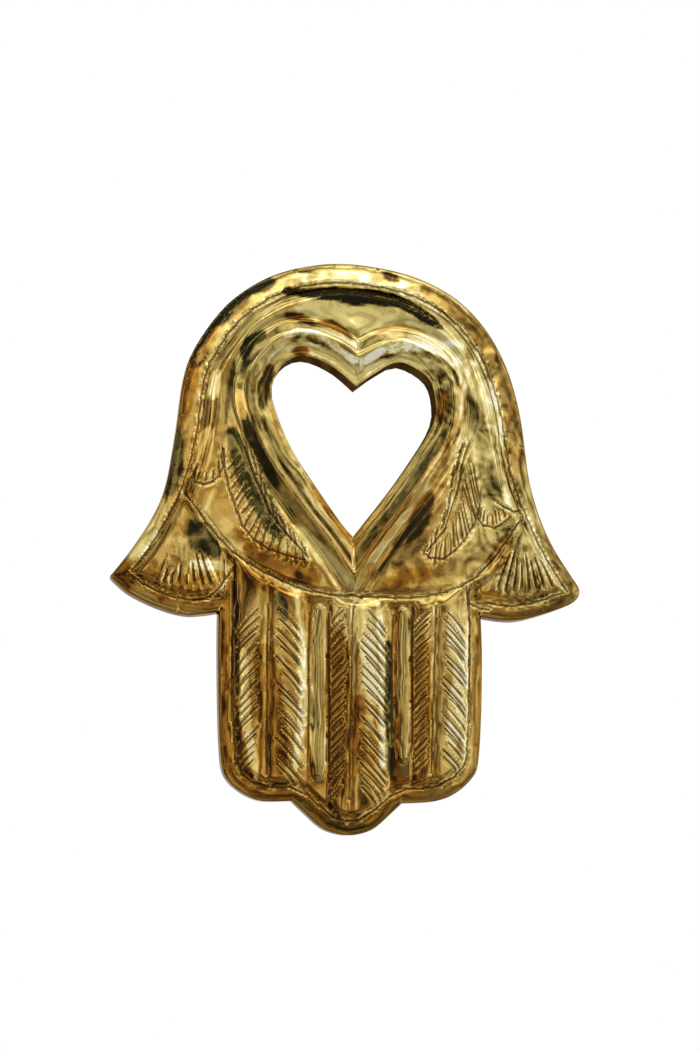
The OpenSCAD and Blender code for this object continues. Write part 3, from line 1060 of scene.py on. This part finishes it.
    def snap_edges(self, bm: BMesh, marks: Layer) -> tuple[list, list]:
        """Moves the sheet's edges onto the outline and the heart, and evens the cells beside them.

        Args:
            bm: The sheet.
            marks: Layer that keeps each edge vertex's point on its contour.

        Returns:
            The edges along the outline and those along the heart.
        """
        bm.verts.ensure_lookup_table()
        places = plan_of(bm)
        rim, rim_near = self.outline.inside(places)
        hole, hole_near = self.heart.inside(places)
        edge = [i for i, v in enumerate(bm.verts) if v.is_boundary]
        outer = [i for i in edge if abs(rim[i] - self.roll) < abs(hole[i])]
        held = set(outer)
        inner = [i for i in edge if i not in held]
        for line, numbers, near, inset in (
            (self.outline, outer, rim_near, self.roll),
            (self.heart, inner, hole_near, -0.25),
        ):
            for corner in line.corners():
                spot = line.inset(np.array([corner]), [inset])[0]
                nearest = min(numbers, key=lambda i: float(np.sum((places[i] - spot) ** 2)))
                near[nearest] = corner
            for i in numbers:
                target = line.inset(near[i : i + 1], [inset])[0]
                bm.verts[i].co.x, bm.verts[i].co.z = target[0] * MM, target[1] * MM
                bm.verts[i][marks] = int(near[i])
        at_outline = {bm.verts[i] for i in outer}
        reach = 3 * self.cell
        near = [
            v for i, v in enumerate(bm.verts)
            if not v.is_boundary and (rim[i] - self.roll < reach or -hole[i] < reach)
        ]
        for _ in range(4):
            bmesh.ops.smooth_vert(
                bm, verts=near, factor=0.5, use_axis_x=True, use_axis_y=False, use_axis_z=True
            )
        edges = [e for e in bm.edges if e.is_boundary]
        outer = [e for e in edges if at_outline.issuperset(e.verts)]
        kept = set(outer)
        return outer, [e for e in edges if e not in kept]

    def raise_relief(self, bm: BMesh, strokes: Strokes) -> None:
        """Lifts the flat sheet into its relief and writes what the finish reads.

        Args:
            bm: The sheet.
            strokes: The chisel strokes.
        """
        places = plan_of(bm)
        height_at = self.relief.height
        height = height_at(places)
        step = 0.5
        across, up = (
            (height_at(places + way) - height_at(places - way)) / (2 * step)
            for way in ((step, 0), (0, step))
        )
        normal = np.stack([-across, np.full(len(up), -1.0), -up], 1)
        normal /= np.linalg.norm(normal, axis=1)[:, None]
        carved, groove, lip = strokes.carve(places)
        rim = self.outline.inside(places)[0]
        heart = -self.heart.inside(places)[0]
        calm = smooth(self.roll, 4, rim) * smooth(0.3, 4, heart)
        dents = self.relief.dents(*places.T) * (0.15 + 0.85 * calm)
        total = height + dents * smooth(0.2, 1.5, heart)
        total += carved * smooth(0.5, 2, heart)
        total = np.clip(total, -0.5, self.highest + self.face_y - self.clear)
        painted_tone, warmth, glint, reflection_unrest = self.painted_shading(places, normal, rim)
        # The lightness written here is painted reflection and shading, and the stroke lips add a
        # painted highlight to it.
        for name, column in (
            ("painted_tone", painted_tone + 0.44 * lip), ("warmth", warmth), ("groove", groove), ("glint", glint),
            ("reflection_unrest", reflection_unrest),
        ):
            layer = bm.verts.layers.float.new(name)
            for v, value in zip(bm.verts, column):
                v[layer] = value
        for v, h in zip(bm.verts, total):
            v.co.y = (self.face_y - h) * MM

    def roll_rim(self, bm: BMesh, edges: list, marks: Layer) -> None:
        """Rolls the rim over, takes the skirt back and folds the tabs in.

        Args:
            bm: The sheet.
            edges: The sheet's outer edges.
            marks: Layer that keeps each edge vertex's point on the outline.
        """
        roll, fold, skirt_y = self.roll, self.fold, self.face_y + self.roll
        turns = [(math.sin(a), math.cos(a)) for a in np.radians((22, 45, 68, 90))]
        rows = [(roll * (1 - s), self.face_y + roll * (1 - c), 0.0) for s, c in turns]
        rows += [(0.0, skirt_y + (self.tab_y - self.face_y - roll) * t, 0.0) for t in (0.33, 0.66)]
        turns = [(math.sin(a), math.cos(a)) for a in np.radians((0, 45, 90))]
        rows += [(fold * (1 - c), self.tab_y - fold * (1 - s), 0.0) for s, c in turns]
        rows += [
            (fold, self.tab_y, 0.5), (fold, self.tab_y, 1.0),
            (fold + self.clear, self.board_back + self.clear, 1.0),
        ]
        tab = self.tab_depths()
        painted_tone, warmth = bm.verts.layers.float["painted_tone"], bm.verts.layers.float["warmth"]
        for inset, y, share in rows:
            edges, verts = extrude_rim(bm, edges)
            numbers = np.array([v[marks] for v in verts])
            reach = inset + share * (tab[numbers] - inset)
            if skirt_y < y < self.tab_y - 1:
                along = self.outline.along[numbers]
                reach = reach + np.abs(0.12 * lattice_noise(along, np.full(len(along), y), 6, 31))
            set_row(verts, self.outline.inset(numbers, reach), y)
            # The skirt's sides get painted shade, darker and more amber.
            for v in verts:
                v[painted_tone] += 0.3 * (self.skirt_painted_shade - v[painted_tone])
                v[warmth] += 0.3 * (self.skirt_warmth - v[warmth])

    def tab_depths(self) -> Array:
        """How far the fold reaches in behind, at each point of the outline.

        Returns:
            Depths in millimetres: a tab under each tack, and a narrow hem between tabs.
        """
        line = self.outline
        near = sorted(float(line.along[i]) for i in line.inside(island_middles("rim_tacks"))[1])
        depth = np.full(len(line.points), self.hem)
        rng = random.Random(11)
        for i, s in enumerate(near):
            before = (s - near[i - 1]) % line.length
            after = (near[(i + 1) % len(near)] - s) % line.length
            off = (line.along - s + line.length / 2) % line.length - line.length / 2
            half = np.where(off < 0, min(before / 2, self.tab_half), min(after / 2, self.tab_half))
            slant = np.clip((half - 0.5 - np.abs(off)) / self.tab_slant, 0, 1)
            tab = self.tab_d * rng.uniform(0.9, 1.0)
            depth = np.maximum(depth, self.hem + (tab - self.hem) * slant)
        return depth

    def turn_heart_edge(self, bm: BMesh, edges: list, marks: Layer) -> None:
        """Rounds the sheet's cut edge in the heart down to the board.

        Args:
            bm: The sheet.
            edges: The sheet's edges along the heart.
            marks: Layer that keeps each edge vertex's point on the heart.
        """
        front = self.face_y
        for inset, y in ((-0.07, front + 0.08), (0, front + 0.25), (0, self.board_front + 0.01)):
            edges, verts = extrude_rim(bm, edges)
            numbers = np.array([v[marks] for v in verts])
            set_row(verts, self.heart.inset(numbers, np.full(len(numbers), inset)), y)


def welded(node: str) -> BMesh:
    """A CAD node's mesh, its doubled corners joined.

    Args:
        node: Name of the node.

    Returns:
        The mesh, to be freed by the caller.
    """
    bm = bmesh.new()
    bm.from_mesh(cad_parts[node].data)
    bmesh.ops.remove_doubles(bm, verts=bm.verts[:], dist=1e-6)
    return bm


def loops_at(node: str, y: float) -> list[Array]:
    """Closed lines that a CAD node draws in an upright plane.

    Args:
        node: Name of the node.
        y: Depth of the plane in millimetres.

    Returns:
        Points of each line across and up, in millimetres, the narrowest line first.
    """
    bm = welded(node)
    level = {v for v in bm.verts if abs(v.co.y / MM - y) < 0.02}
    edges = [
        e for e in bm.edges
        if level.issuperset(e.verts) and sum(level.issuperset(f.verts) for f in e.link_faces) < 2
    ]
    left = set(edges)
    loops = []
    for first in edges:
        if first not in left:
            continue
        left.discard(first)
        chain = list(first.verts)
        while step := next((e for e in chain[-1].link_edges if e in left), None):
            left.discard(step)
            chain.append(step.other_vert(chain[-1]))
        loops.append(np.array([(v.co.x / MM, v.co.z / MM) for v in chain[:-1]]))
    bm.free()
    return sorted(loops, key=lambda p: float(np.ptp(p[:, 0])))


def plan_of(bm: BMesh) -> Array:
    """Places of a mesh's vertices across and up, in millimetres."""
    return np.array([(v.co.x, v.co.z) for v in bm.verts]) / MM


def extrude_rim(bm: BMesh, edges: list) -> tuple[list, list]:
    """Extrudes a row of edges.

    Args:
        bm: The mesh.
        edges: The edges to extrude.

    Returns:
        The new row's edges and vertices.
    """
    made = bmesh.ops.extrude_edge_only(bm, edges=edges)["geom"]
    verts = [g for g in made if isinstance(g, bmesh.types.BMVert)]
    new = set(verts)
    kept = [g for g in made if isinstance(g, bmesh.types.BMEdge) and new.issuperset(g.verts)]
    return kept, verts


def set_row(verts: list, spots: Array, y: float) -> None:
    """Moves a row of vertices to places at one depth, in millimetres."""
    for v, (x, z) in zip(verts, spots):
        v.co = (x * MM, y * MM, z * MM)


def island_middles(node: str) -> Array:
    """Middles of a CAD node's separate solids, across and up, in millimetres.

    Args:
        node: Name of the node.

    Returns:
        One row for each solid.
    """
    bm = welded(node)
    left = set(bm.verts)
    middles = []
    while left:
        group, queue = [], [left.pop()]
        while queue:
            v = queue.pop()
            group.append(v)
            for e in v.link_edges:
                w = e.other_vert(v)
                if w in left:
                    left.discard(w)
                    queue.append(w)
        box = np.array([(v.co.x, v.co.z) for v in group]) / MM
        middles.append((box.min(0) + box.max(0)) / 2)
    bm.free()
    return np.array(middles)


def finish_mesh(bm: BMesh, name: str) -> bpy.types.Object:
    """Makes a smooth-shaded object at the origin from a mesh.

    Args:
        bm: The mesh, which is freed.
        name: Name of the object.

    Returns:
        The object, linked to the scene.
    """
    mesh = bpy.data.meshes.new(name)
    bm.to_mesh(mesh)
    bm.free()
    mesh.polygons.foreach_set("use_smooth", [True] * len(mesh.polygons))
    obj = bpy.data.objects.new(name, mesh)
    bpy.context.scene.collection.objects.link(obj)
    return obj



class Recipe:
    """Builds a node tree, one node at a time."""

    def __init__(self, tree: bpy.types.NodeTree) -> None:
        """Keeps the tree."""
        self.tree = tree

    def put(self, value: object, socket: Socket) -> None:
        """Links a socket to another one, or sets its value.

        Args:
            value: The socket or the value to take.
            socket: The socket to fill.
        """
        if isinstance(value, Socket):
            self.tree.links.new(value, socket)
        else:
            socket.default_value = value

    def node(self, kind: str, inputs: dict | None = None, **settings: object) -> Node:
        """Adds a node.

        Args:
            kind: The node's type, without its ShaderNode prefix.
            inputs: Values or sockets for its inputs, by name or number.
            **settings: Properties of the node.

        Returns:
            The node.
        """
        node = self.tree.nodes.new(f"ShaderNode{kind}")
        for name, value in settings.items():
            setattr(node, name, value)
        for name, value in (inputs or {}).items():
            self.put(value, node.inputs[name])
        return node

    def math(self, how: str, a: object, b: object, clamp: bool = False) -> Socket:
        """A Math node's result."""
        return self.node("Math", {0: a, 1: b}, operation=how, use_clamp=clamp).outputs[0]

    def plus(self, a: object, b: object) -> Socket:
        """The sum of two values."""
        return self.math("ADD", a, b)

    def times(self, a: object, b: object, clamp: bool = False) -> Socket:
        """The product of two values."""
        return self.math("MULTIPLY", a, b, clamp)

    def around_zero(self, a: Socket) -> Socket:
        """A pattern's value, moved from around a half to around zero."""
        return self.math("SUBTRACT", a, 0.5)

    def scaled(self, a: Socket, by: float) -> Socket:
        """A vector times a number."""
        return self.node("VectorMath", {0: a, 3: by}, operation="SCALE").outputs[0]

    def place(self) -> Socket:
        """The place in the object's own space."""
        return self.node("TexCoord").outputs["Object"]

    def stretched(self, where: Socket, scale: Axes, turn: Axes = (0.0, 0.0, 0.0)) -> Socket:
        """A place scaled and turned, so that a pattern on it runs one way."""
        return self.node("Mapping", {"Vector": where, "Scale": scale, "Rotation": turn}).outputs[0]

    def cloud(self, where: Socket, scale: float, detail: float = 2.0, warp: float = 0.0) -> Node:
        """A noise pattern."""
        inputs = {"Vector": where, "Scale": scale, "Detail": detail, "Distortion": warp}
        return self.node("TexNoise", inputs)

    def noise(self, where: Socket, scale: float, detail: float = 2.0, warp: float = 0.0) -> Socket:
        """A noise pattern's value."""
        return self.cloud(where, scale, detail, warp).outputs["Fac"]

    def ramp(self, value: Socket, stops: list[tuple[float, Colour]]) -> Socket:
        """A colour ramp's colour.

        Args:
            value: The value to look up.
            stops: Positions and colours.

        Returns:
            The colour socket.
        """
        node = self.node("ValToRGB", {"Fac": value})
        bar = node.color_ramp
        while len(bar.elements) > 1:
            bar.elements.remove(bar.elements[-1])
        for i, (at, colour) in enumerate(stops):
            stop = bar.elements[0] if i == 0 else bar.elements.new(at)
            stop.position = at
            stop.color = (*colour, 1)
        return node.outputs["Color"]

    def mix(self, share: Socket, a: Socket, b: object) -> Socket:
        """Two colours mixed."""
        return self.node("Mix", {0: share, 6: a, 7: b}, data_type="RGBA").outputs[2]

    def bumps(self, height: Socket, strength: float, distance: float) -> Socket:
        """The normals of a surface with small bumps."""
        inputs = {"Strength": strength, "Distance": distance, "Height": height}
        return self.node("Bump", inputs).outputs["Normal"]


def terraces(
    steps: list[tuple[float, Colour]], edge: float = 0.012, slide: float = 0.35
) -> list[tuple[float, Colour]]:
    """Stops of a ramp whose colours meet at crisp edges, as reflections do in warped metal.

    Args:
        steps: Where each colour starts, and the colour.
        edge: Width of the edge between two colours.
        slide: How far each colour has gone over to the next one where it ends.

    Returns:
        The stops.
    """
    stops = [steps[0]]
    for (_, last), (start, colour) in zip(steps, steps[1:]):
        nearly = tuple(a + slide * (b - a) for a, b in zip(last, colour))
        stops += [(start - edge, nearly), (start, colour)]
    return stops


def hammered_metal_group() -> bpy.types.NodeTree:
    """Fine planishing marks, scratches and smears for the brass.

    Returns:
        The node group.
    """
    tree = bpy.data.node_groups.new("planished_metal", "ShaderNodeTree")
    for name in ("Height", "Smear"):
        tree.interface.new_socket(name=name, in_out="OUTPUT", socket_type="NodeSocketFloat")
    out = tree.nodes.new("NodeGroupOutput")
    r = Recipe(tree)
    where = r.place()
    facets = r.node(
        "TexVoronoi", {"Vector": where, "Scale": 190.0, "Smoothness": 0.9}, feature="SMOOTH_F1"
    )
    waves = r.noise(where, 420.0, 3.0, 0.4)
    scratch = r.noise(r.stretched(where, (1.0, 1.0, 14.0), (0.3, 0.9, 0.2)), 900.0)
    height = r.plus(r.times(facets.outputs["Distance"], 0.9), r.times(waves, 0.35))
    r.put(r.plus(height, r.times(scratch, 0.05)), out.inputs["Height"])
    smear = r.times(r.noise(where, 60.0, 4.0, 1.2), r.noise(where, 340.0, 3.0))
    r.put(smear, out.inputs["Smear"])
    return tree


@dataclass(frozen=True)
class BrassFinish:
    """Polished, chased brass whose warped reflections are painted into its colour as patches, pale
    straw to near black, with painted sparkle and painted shade in the grooves.
    """

    name: str = "polished_chased_brass"
    # Strength of the painted reflection, of its busy patterns and of the painted sparkle.
    mirror: float = 1.2
    reflection_swirls: float = 0.85
    sparkle: float = 1.1
    stray: float = 0.45
    # Colour of the painted shade in the grooves of the strokes.
    groove_shade_colour: Colour = (0.055, 0.030, 0.009)
    tint: Colour = (0.4, 0.32, 0.2)
    bump: float = 0.10
    patterns: tuple[tuple[float, float, float], ...] = (
        (26.0, 0.8, 1.1), (95.0, 1.4, 0.26), (340.0, 2.0, 0.07),
    )
    starts: tuple[float, ...] = (0.00, 0.20, 0.32, 0.43, 0.54, 0.67, 0.80, 0.90, 0.98)
    cool: tuple[Colour, ...] = (
        (0.012, 0.010, 0.005), (0.072, 0.056, 0.015), (0.188, 0.136, 0.036),
        (0.300, 0.222, 0.065), (0.455, 0.350, 0.110), (0.605, 0.485, 0.170),
        (0.745, 0.625, 0.260), (0.900, 0.810, 0.460), (1.000, 0.950, 0.740),
    )
    warm: tuple[Colour, ...] = (
        (0.014, 0.007, 0.003), (0.085, 0.034, 0.006), (0.200, 0.080, 0.010),
        (0.305, 0.138, 0.016), (0.455, 0.245, 0.040), (0.635, 0.395, 0.095),
        (0.780, 0.560, 0.175), (0.900, 0.760, 0.340), (1.000, 0.920, 0.640),
    )

    def make(self, planish: bpy.types.NodeTree) -> bpy.types.Material:
        """Builds the material.

        Args:
            planish: Group with the fine hammer marks.

        Returns:
            The material.
        """
        mat, r, shader = new_material(self.name, metallic=1.0)
        spot = r.node("TexCoord")
        where = spot.outputs["Object"]
        painted_tone, warmth, groove, glint, reflection_unrest = (
            r.node("Attribute", attribute_name=name).outputs["Fac"]
            for name in ("painted_tone", "warmth", "groove", "glint", "reflection_unrest")
        )
        # Painted reflection: a pattern looked up by the direction the surface faces, a fixed
        # picture of surroundings in the metal.
        looked = r.scaled(spot.outputs["Normal"], 2.6)
        clouds = [r.cloud(where, scale, 1.0, warp) for scale, warp, _ in self.patterns]
        for cloud, (_, _, share) in zip(clouds, self.patterns):
            turned = r.scaled(cloud.outputs["Color"], share)
            looked = r.node("VectorMath", {0: looked, 1: turned}, operation="ADD").outputs[0]
        mirrored = r.around_zero(r.noise(looked, 2.3, 1.0, 0.3))
        value = r.plus(painted_tone, r.times(mirrored, self.mirror))
        # Painted reflections get busier where the attribute says so.
        reflection_swirl = r.around_zero(r.noise(where, 85.0, 0.6, 2.6))
        value = r.plus(value, r.times(reflection_swirl, r.times(reflection_unrest, self.reflection_swirls)))
        # Painted sparkle along the painted glint streaks.
        painted_sparkle = r.around_zero(r.noise(where, 640.0, 2.0, 0.8))
        value = r.plus(value, r.times(painted_sparkle, r.times(glint, self.sparkle)))
        # The painted lightness picks colours from painted shade, near black, up to painted
        # highlight, near white.
        cool = r.ramp(value, terraces(list(zip(self.starts, self.cool))))
        warm = r.ramp(value, terraces(list(zip(self.starts, self.warm))))
        stray = r.times(r.around_zero(clouds[1].outputs["Fac"]), self.stray)
        heat = r.node(
            "MapRange", {"Value": r.plus(warmth, stray), "From Min": 0.1, "From Max": 0.9},
            interpolation_type="SMOOTHSTEP",
        )
        worn = r.node("Group", node_tree=planish)
        # Painted shade darkens the grooves of the strokes.
        groove_shade = r.times(r.math("POWER", groove, 1.4), 0.85, clamp=True)
        colour = r.mix(groove_shade, r.mix(heat.outputs[0], cool, warm), (*self.groove_shade_colour, 1))
        polish = r.plus(r.times(worn.outputs["Smear"], 0.24), 0.10)
        rough = r.plus(polish, r.times(groove, 0.25))
        shader.inputs["Specular Tint"].default_value = (*self.tint, 1)
        r.put(colour, shader.inputs["Base Color"])
        r.put(rough, shader.inputs["Roughness"])
        r.put(r.bumps(worn.outputs["Height"], self.bump, 0.0005), shader.inputs["Normal"])
        return mat


@dataclass(frozen=True)
class WoodFinish:
    """Dark stained softwood with grain along the hand."""

    name: str = "dark_stained_wood"
    along: Axes = (1.0, 1.0, 0.09)
    lean: Axes = (0.0, 0.06, 0.0)
    stain: tuple[tuple[float, Colour], ...] = (
        (0.20, (0.034, 0.016, 0.004)), (0.45, (0.075, 0.036, 0.009)),
        (0.62, (0.125, 0.064, 0.016)), (0.85, (0.170, 0.094, 0.026)),
    )

    def make(self) -> bpy.types.Material:
        """Builds the material.

        Returns:
            The material.
        """
        mat, r, shader = new_material(self.name)
        shader.inputs["Specular IOR Level"].default_value = 0.0
        long = r.stretched(r.place(), self.along, self.lean)
        grain = r.noise(long, 260.0, 5.0, 1.2)
        rings = r.node(
            "TexWave",
            {"Vector": long, "Scale": 23.0, "Distortion": 9.0, "Detail": 3.0, "Detail Scale": 1.1},
            wave_type="BANDS", bands_direction="X",
        )
        value = r.plus(r.times(grain, 0.8), r.times(rings.outputs["Fac"], 0.2))
        r.put(r.ramp(value, self.stain), shader.inputs["Base Color"])
        r.put(r.plus(r.times(grain, 0.25), 0.50), shader.inputs["Roughness"])
        r.put(r.bumps(value, 0.35, 0.0005), shader.inputs["Normal"])
        return mat


@dataclass(frozen=True)
class MetalFinish:
    """Plain metal of small bought parts, with cloudy plating and a little wear."""

    name: str
    light: Colour
    dark: Colour
    rough: float
    grain_along: Axes = (1.0, 1.0, 1.0)

    def make(self) -> bpy.types.Material:
        """Builds the material.

        Returns:
            The material.
        """
        mat, r, shader = new_material(self.name, metallic=1.0)
        where = r.place()
        clouds = r.noise(where, 420.0, 4.0, 0.8)
        drawn = r.noise(r.stretched(where, self.grain_along), 2600.0)
        value = r.plus(r.times(clouds, 0.7), r.times(drawn, 0.3))
        colour = r.ramp(value, [(0.30, self.dark), (0.70, self.light)])
        r.put(colour, shader.inputs["Base Color"])
        r.put(r.plus(r.times(clouds, 0.22), self.rough), shader.inputs["Roughness"])
        r.put(r.bumps(drawn, 0.2, 0.0001), shader.inputs["Normal"])
        return mat


def new_material(name: str, metallic: float = 0.0) -> tuple[bpy.types.Material, Recipe, Node]:
    """Starts a material with one Principled shader.

    Args:
        name: Name of the material.
        metallic: How metallic the shader is.

    Returns:
        The material, a recipe for its tree and its shader.
    """
    mat = bpy.data.materials.new(name)
    mat.use_nodes = True
    shader = mat.node_tree.nodes["Principled BSDF"]
    shader.inputs["Metallic"].default_value = metallic
    return mat, Recipe(mat.node_tree), shader


@dataclass(frozen=True)
class Hanger:
    """The nodes that keep their CAD shape: the board, the tacks and the hanger behind."""

    finishes: tuple[tuple[str, WoodFinish | MetalFinish], ...] = (
        ("backing_board", WoodFinish()),
        (
            "rim_tacks",
            MetalFinish("dull_brass_tacks", (0.56, 0.42, 0.17), (0.26, 0.17, 0.06), 0.26),
        ),
        (
            "hanger_strap",
            MetalFinish(
                "zinc_plated_strip", (0.56, 0.55, 0.52), (0.36, 0.35, 0.33), 0.24, (1.0, 1.0, 0.05)
            ),
        ),
        (
            "hanger_ring",
            MetalFinish("zinc_plated_wire", (0.62, 0.61, 0.59), (0.42, 0.41, 0.39), 0.18),
        ),
        (
            "hanger_screws",
            MetalFinish("yellow_passivated_screws", (0.62, 0.50, 0.26), (0.40, 0.31, 0.15), 0.22),
        ),
    )

    def dress(self) -> None:
        """Gives each carried-over node its finish."""
        for name, finish in self.finishes:
            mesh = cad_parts[name].data
            mesh.materials.clear()
            mesh.materials.append(finish.make())
            LOG.info("dressed %s", name)


@dataclass(frozen=True)
class Lamp:
    """A soft square lamp: its place and side in metres, and its power in watts."""

    name: str
    place: Axes
    side: float
    power: float

    def light(self, target: Vector) -> None:
        """Hangs the lamp up.

        Args:
            target: What it points at.
        """
        data = bpy.data.lights.new(self.name, "AREA")
        data.shape = "SQUARE"
        data.size = self.side
        data.energy = self.power
        obj = bpy.data.objects.new(self.name, data)
        obj.location = self.place
        obj.rotation_euler = (target - Vector(self.place)).to_track_quat("-Z", "Y").to_euler()
        bpy.context.scene.collection.objects.link(obj)


@dataclass(frozen=True)
class Studio:
    """A pale floor, soft lamps, a white surround and the camera of the photograph."""

    azimuth: float = -8.5
    elevation: float = -9.0
    distance: float = 0.95
    frame_mm: float = 488.0
    sensor_mm: float = 36.0
    shift_right: float = 0.0010
    shift_up: float = 0.0090
    floor_z: float = -0.62
    floor_side: float = 2.2
    lamps: tuple[Lamp, ...] = (
        Lamp("key", (0.15, -1.05, 0.62), 0.80, 2.2),
        Lamp("fill", (-0.95, -0.80, 0.10), 0.60, 1.0),
        Lamp("top", (-0.10, -0.35, 1.10), 0.80, 0.8),
        Lamp("back", (0.40, 1.10, 0.60), 0.80, 3.0),
    )

    def build(self) -> None:
        """Makes the floor, the surround, the lamps and the camera."""
        self.floor()
        self.surround()
        low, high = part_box("brass_face")
        centre = (Vector(low) + Vector(high)) / 2
        for lamp in self.lamps:
            lamp.light(centre)
        self.camera(centre)

    def floor(self) -> None:
        """A wide pale floor, well under the hand, which hangs."""
        bm = bmesh.new()
        under = Matrix.Translation((0, 0, self.floor_z))
        bmesh.ops.create_grid(bm, x_segments=2, y_segments=2, size=self.floor_side, matrix=under)
        obj = finish_mesh(bm, "studio_floor")
        mat, r, shader = new_material("pale_floor")
        shader.inputs["Roughness"].default_value = 0.8
        colour = r.ramp(
            r.noise(r.place(), 3.0), [(0.3, (0.86, 0.86, 0.86)), (0.7, (0.90, 0.90, 0.90))]
        )
        r.put(colour, shader.inputs["Base Color"])
        obj.data.materials.append(mat)

    @staticmethod
    def surround() -> None:
        """White to the camera and in reflections, and a soft grey light otherwise."""
        world = bpy.data.worlds.new("studio")
        bpy.context.scene.world = world
        world.use_nodes = True
        r = Recipe(world.node_tree)
        path = r.node("LightPath").outputs
        seen = r.math("MAXIMUM", path["Is Camera Ray"], path["Is Glossy Ray"])
        seen = r.math("MAXIMUM", seen, path["Is Transmission Ray"])
        white = r.node("Background", {"Color": (1, 1, 1, 1), "Strength": 1.0})
        soft = r.node("Background", {"Color": (1, 1, 1, 1), "Strength": 0.55})
        both = r.node("MixShader", {0: seen, 1: soft.outputs[0], 2: white.outputs[0]})
        r.put(both.outputs[0], world.node_tree.nodes["World Output"].inputs["Surface"])

    def camera(self, centre: Vector) -> None:
        """The camera, a little below the hand and to its left.

        Args:
            centre: Middle of the hand.
        """
        data = bpy.data.cameras.new("camera")
        cam = bpy.data.objects.new("camera", data)
        bpy.context.scene.collection.objects.link(cam)
        a, e = math.radians(self.azimuth), math.radians(self.elevation)
        back = Vector((math.sin(a) * math.cos(e), -math.cos(a) * math.cos(e), math.sin(e)))
        turn = (-back).to_track_quat("-Z", "Y")
        aim = centre + turn @ Vector((self.shift_right, self.shift_up, 0))
        cam.location = aim + back * self.distance
        cam.rotation_euler = turn.to_euler()
        data.sensor_width = self.sensor_mm
        data.lens = self.sensor_mm * self.distance / (self.frame_mm * MM)
        data.clip_start, data.clip_end = 0.01, 50
        bpy.context.scene.camera = cam


def main() -> None:
    """Builds the brass, dresses the rest and sets the studio."""
    logging.basicConfig(level=logging.INFO)
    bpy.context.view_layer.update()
    brass = BrassFace().build()
    brass.data.materials.append(BrassFinish().make(hammered_metal_group()))
    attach(brass, "ornament")
    LOG.info("brass face: %d triangles", len(brass.data.polygons))
    Hanger().dress()
    Studio().build()
    bpy.context.scene.view_settings.view_transform = "Standard"


if __name__ == "__main__":
    main()
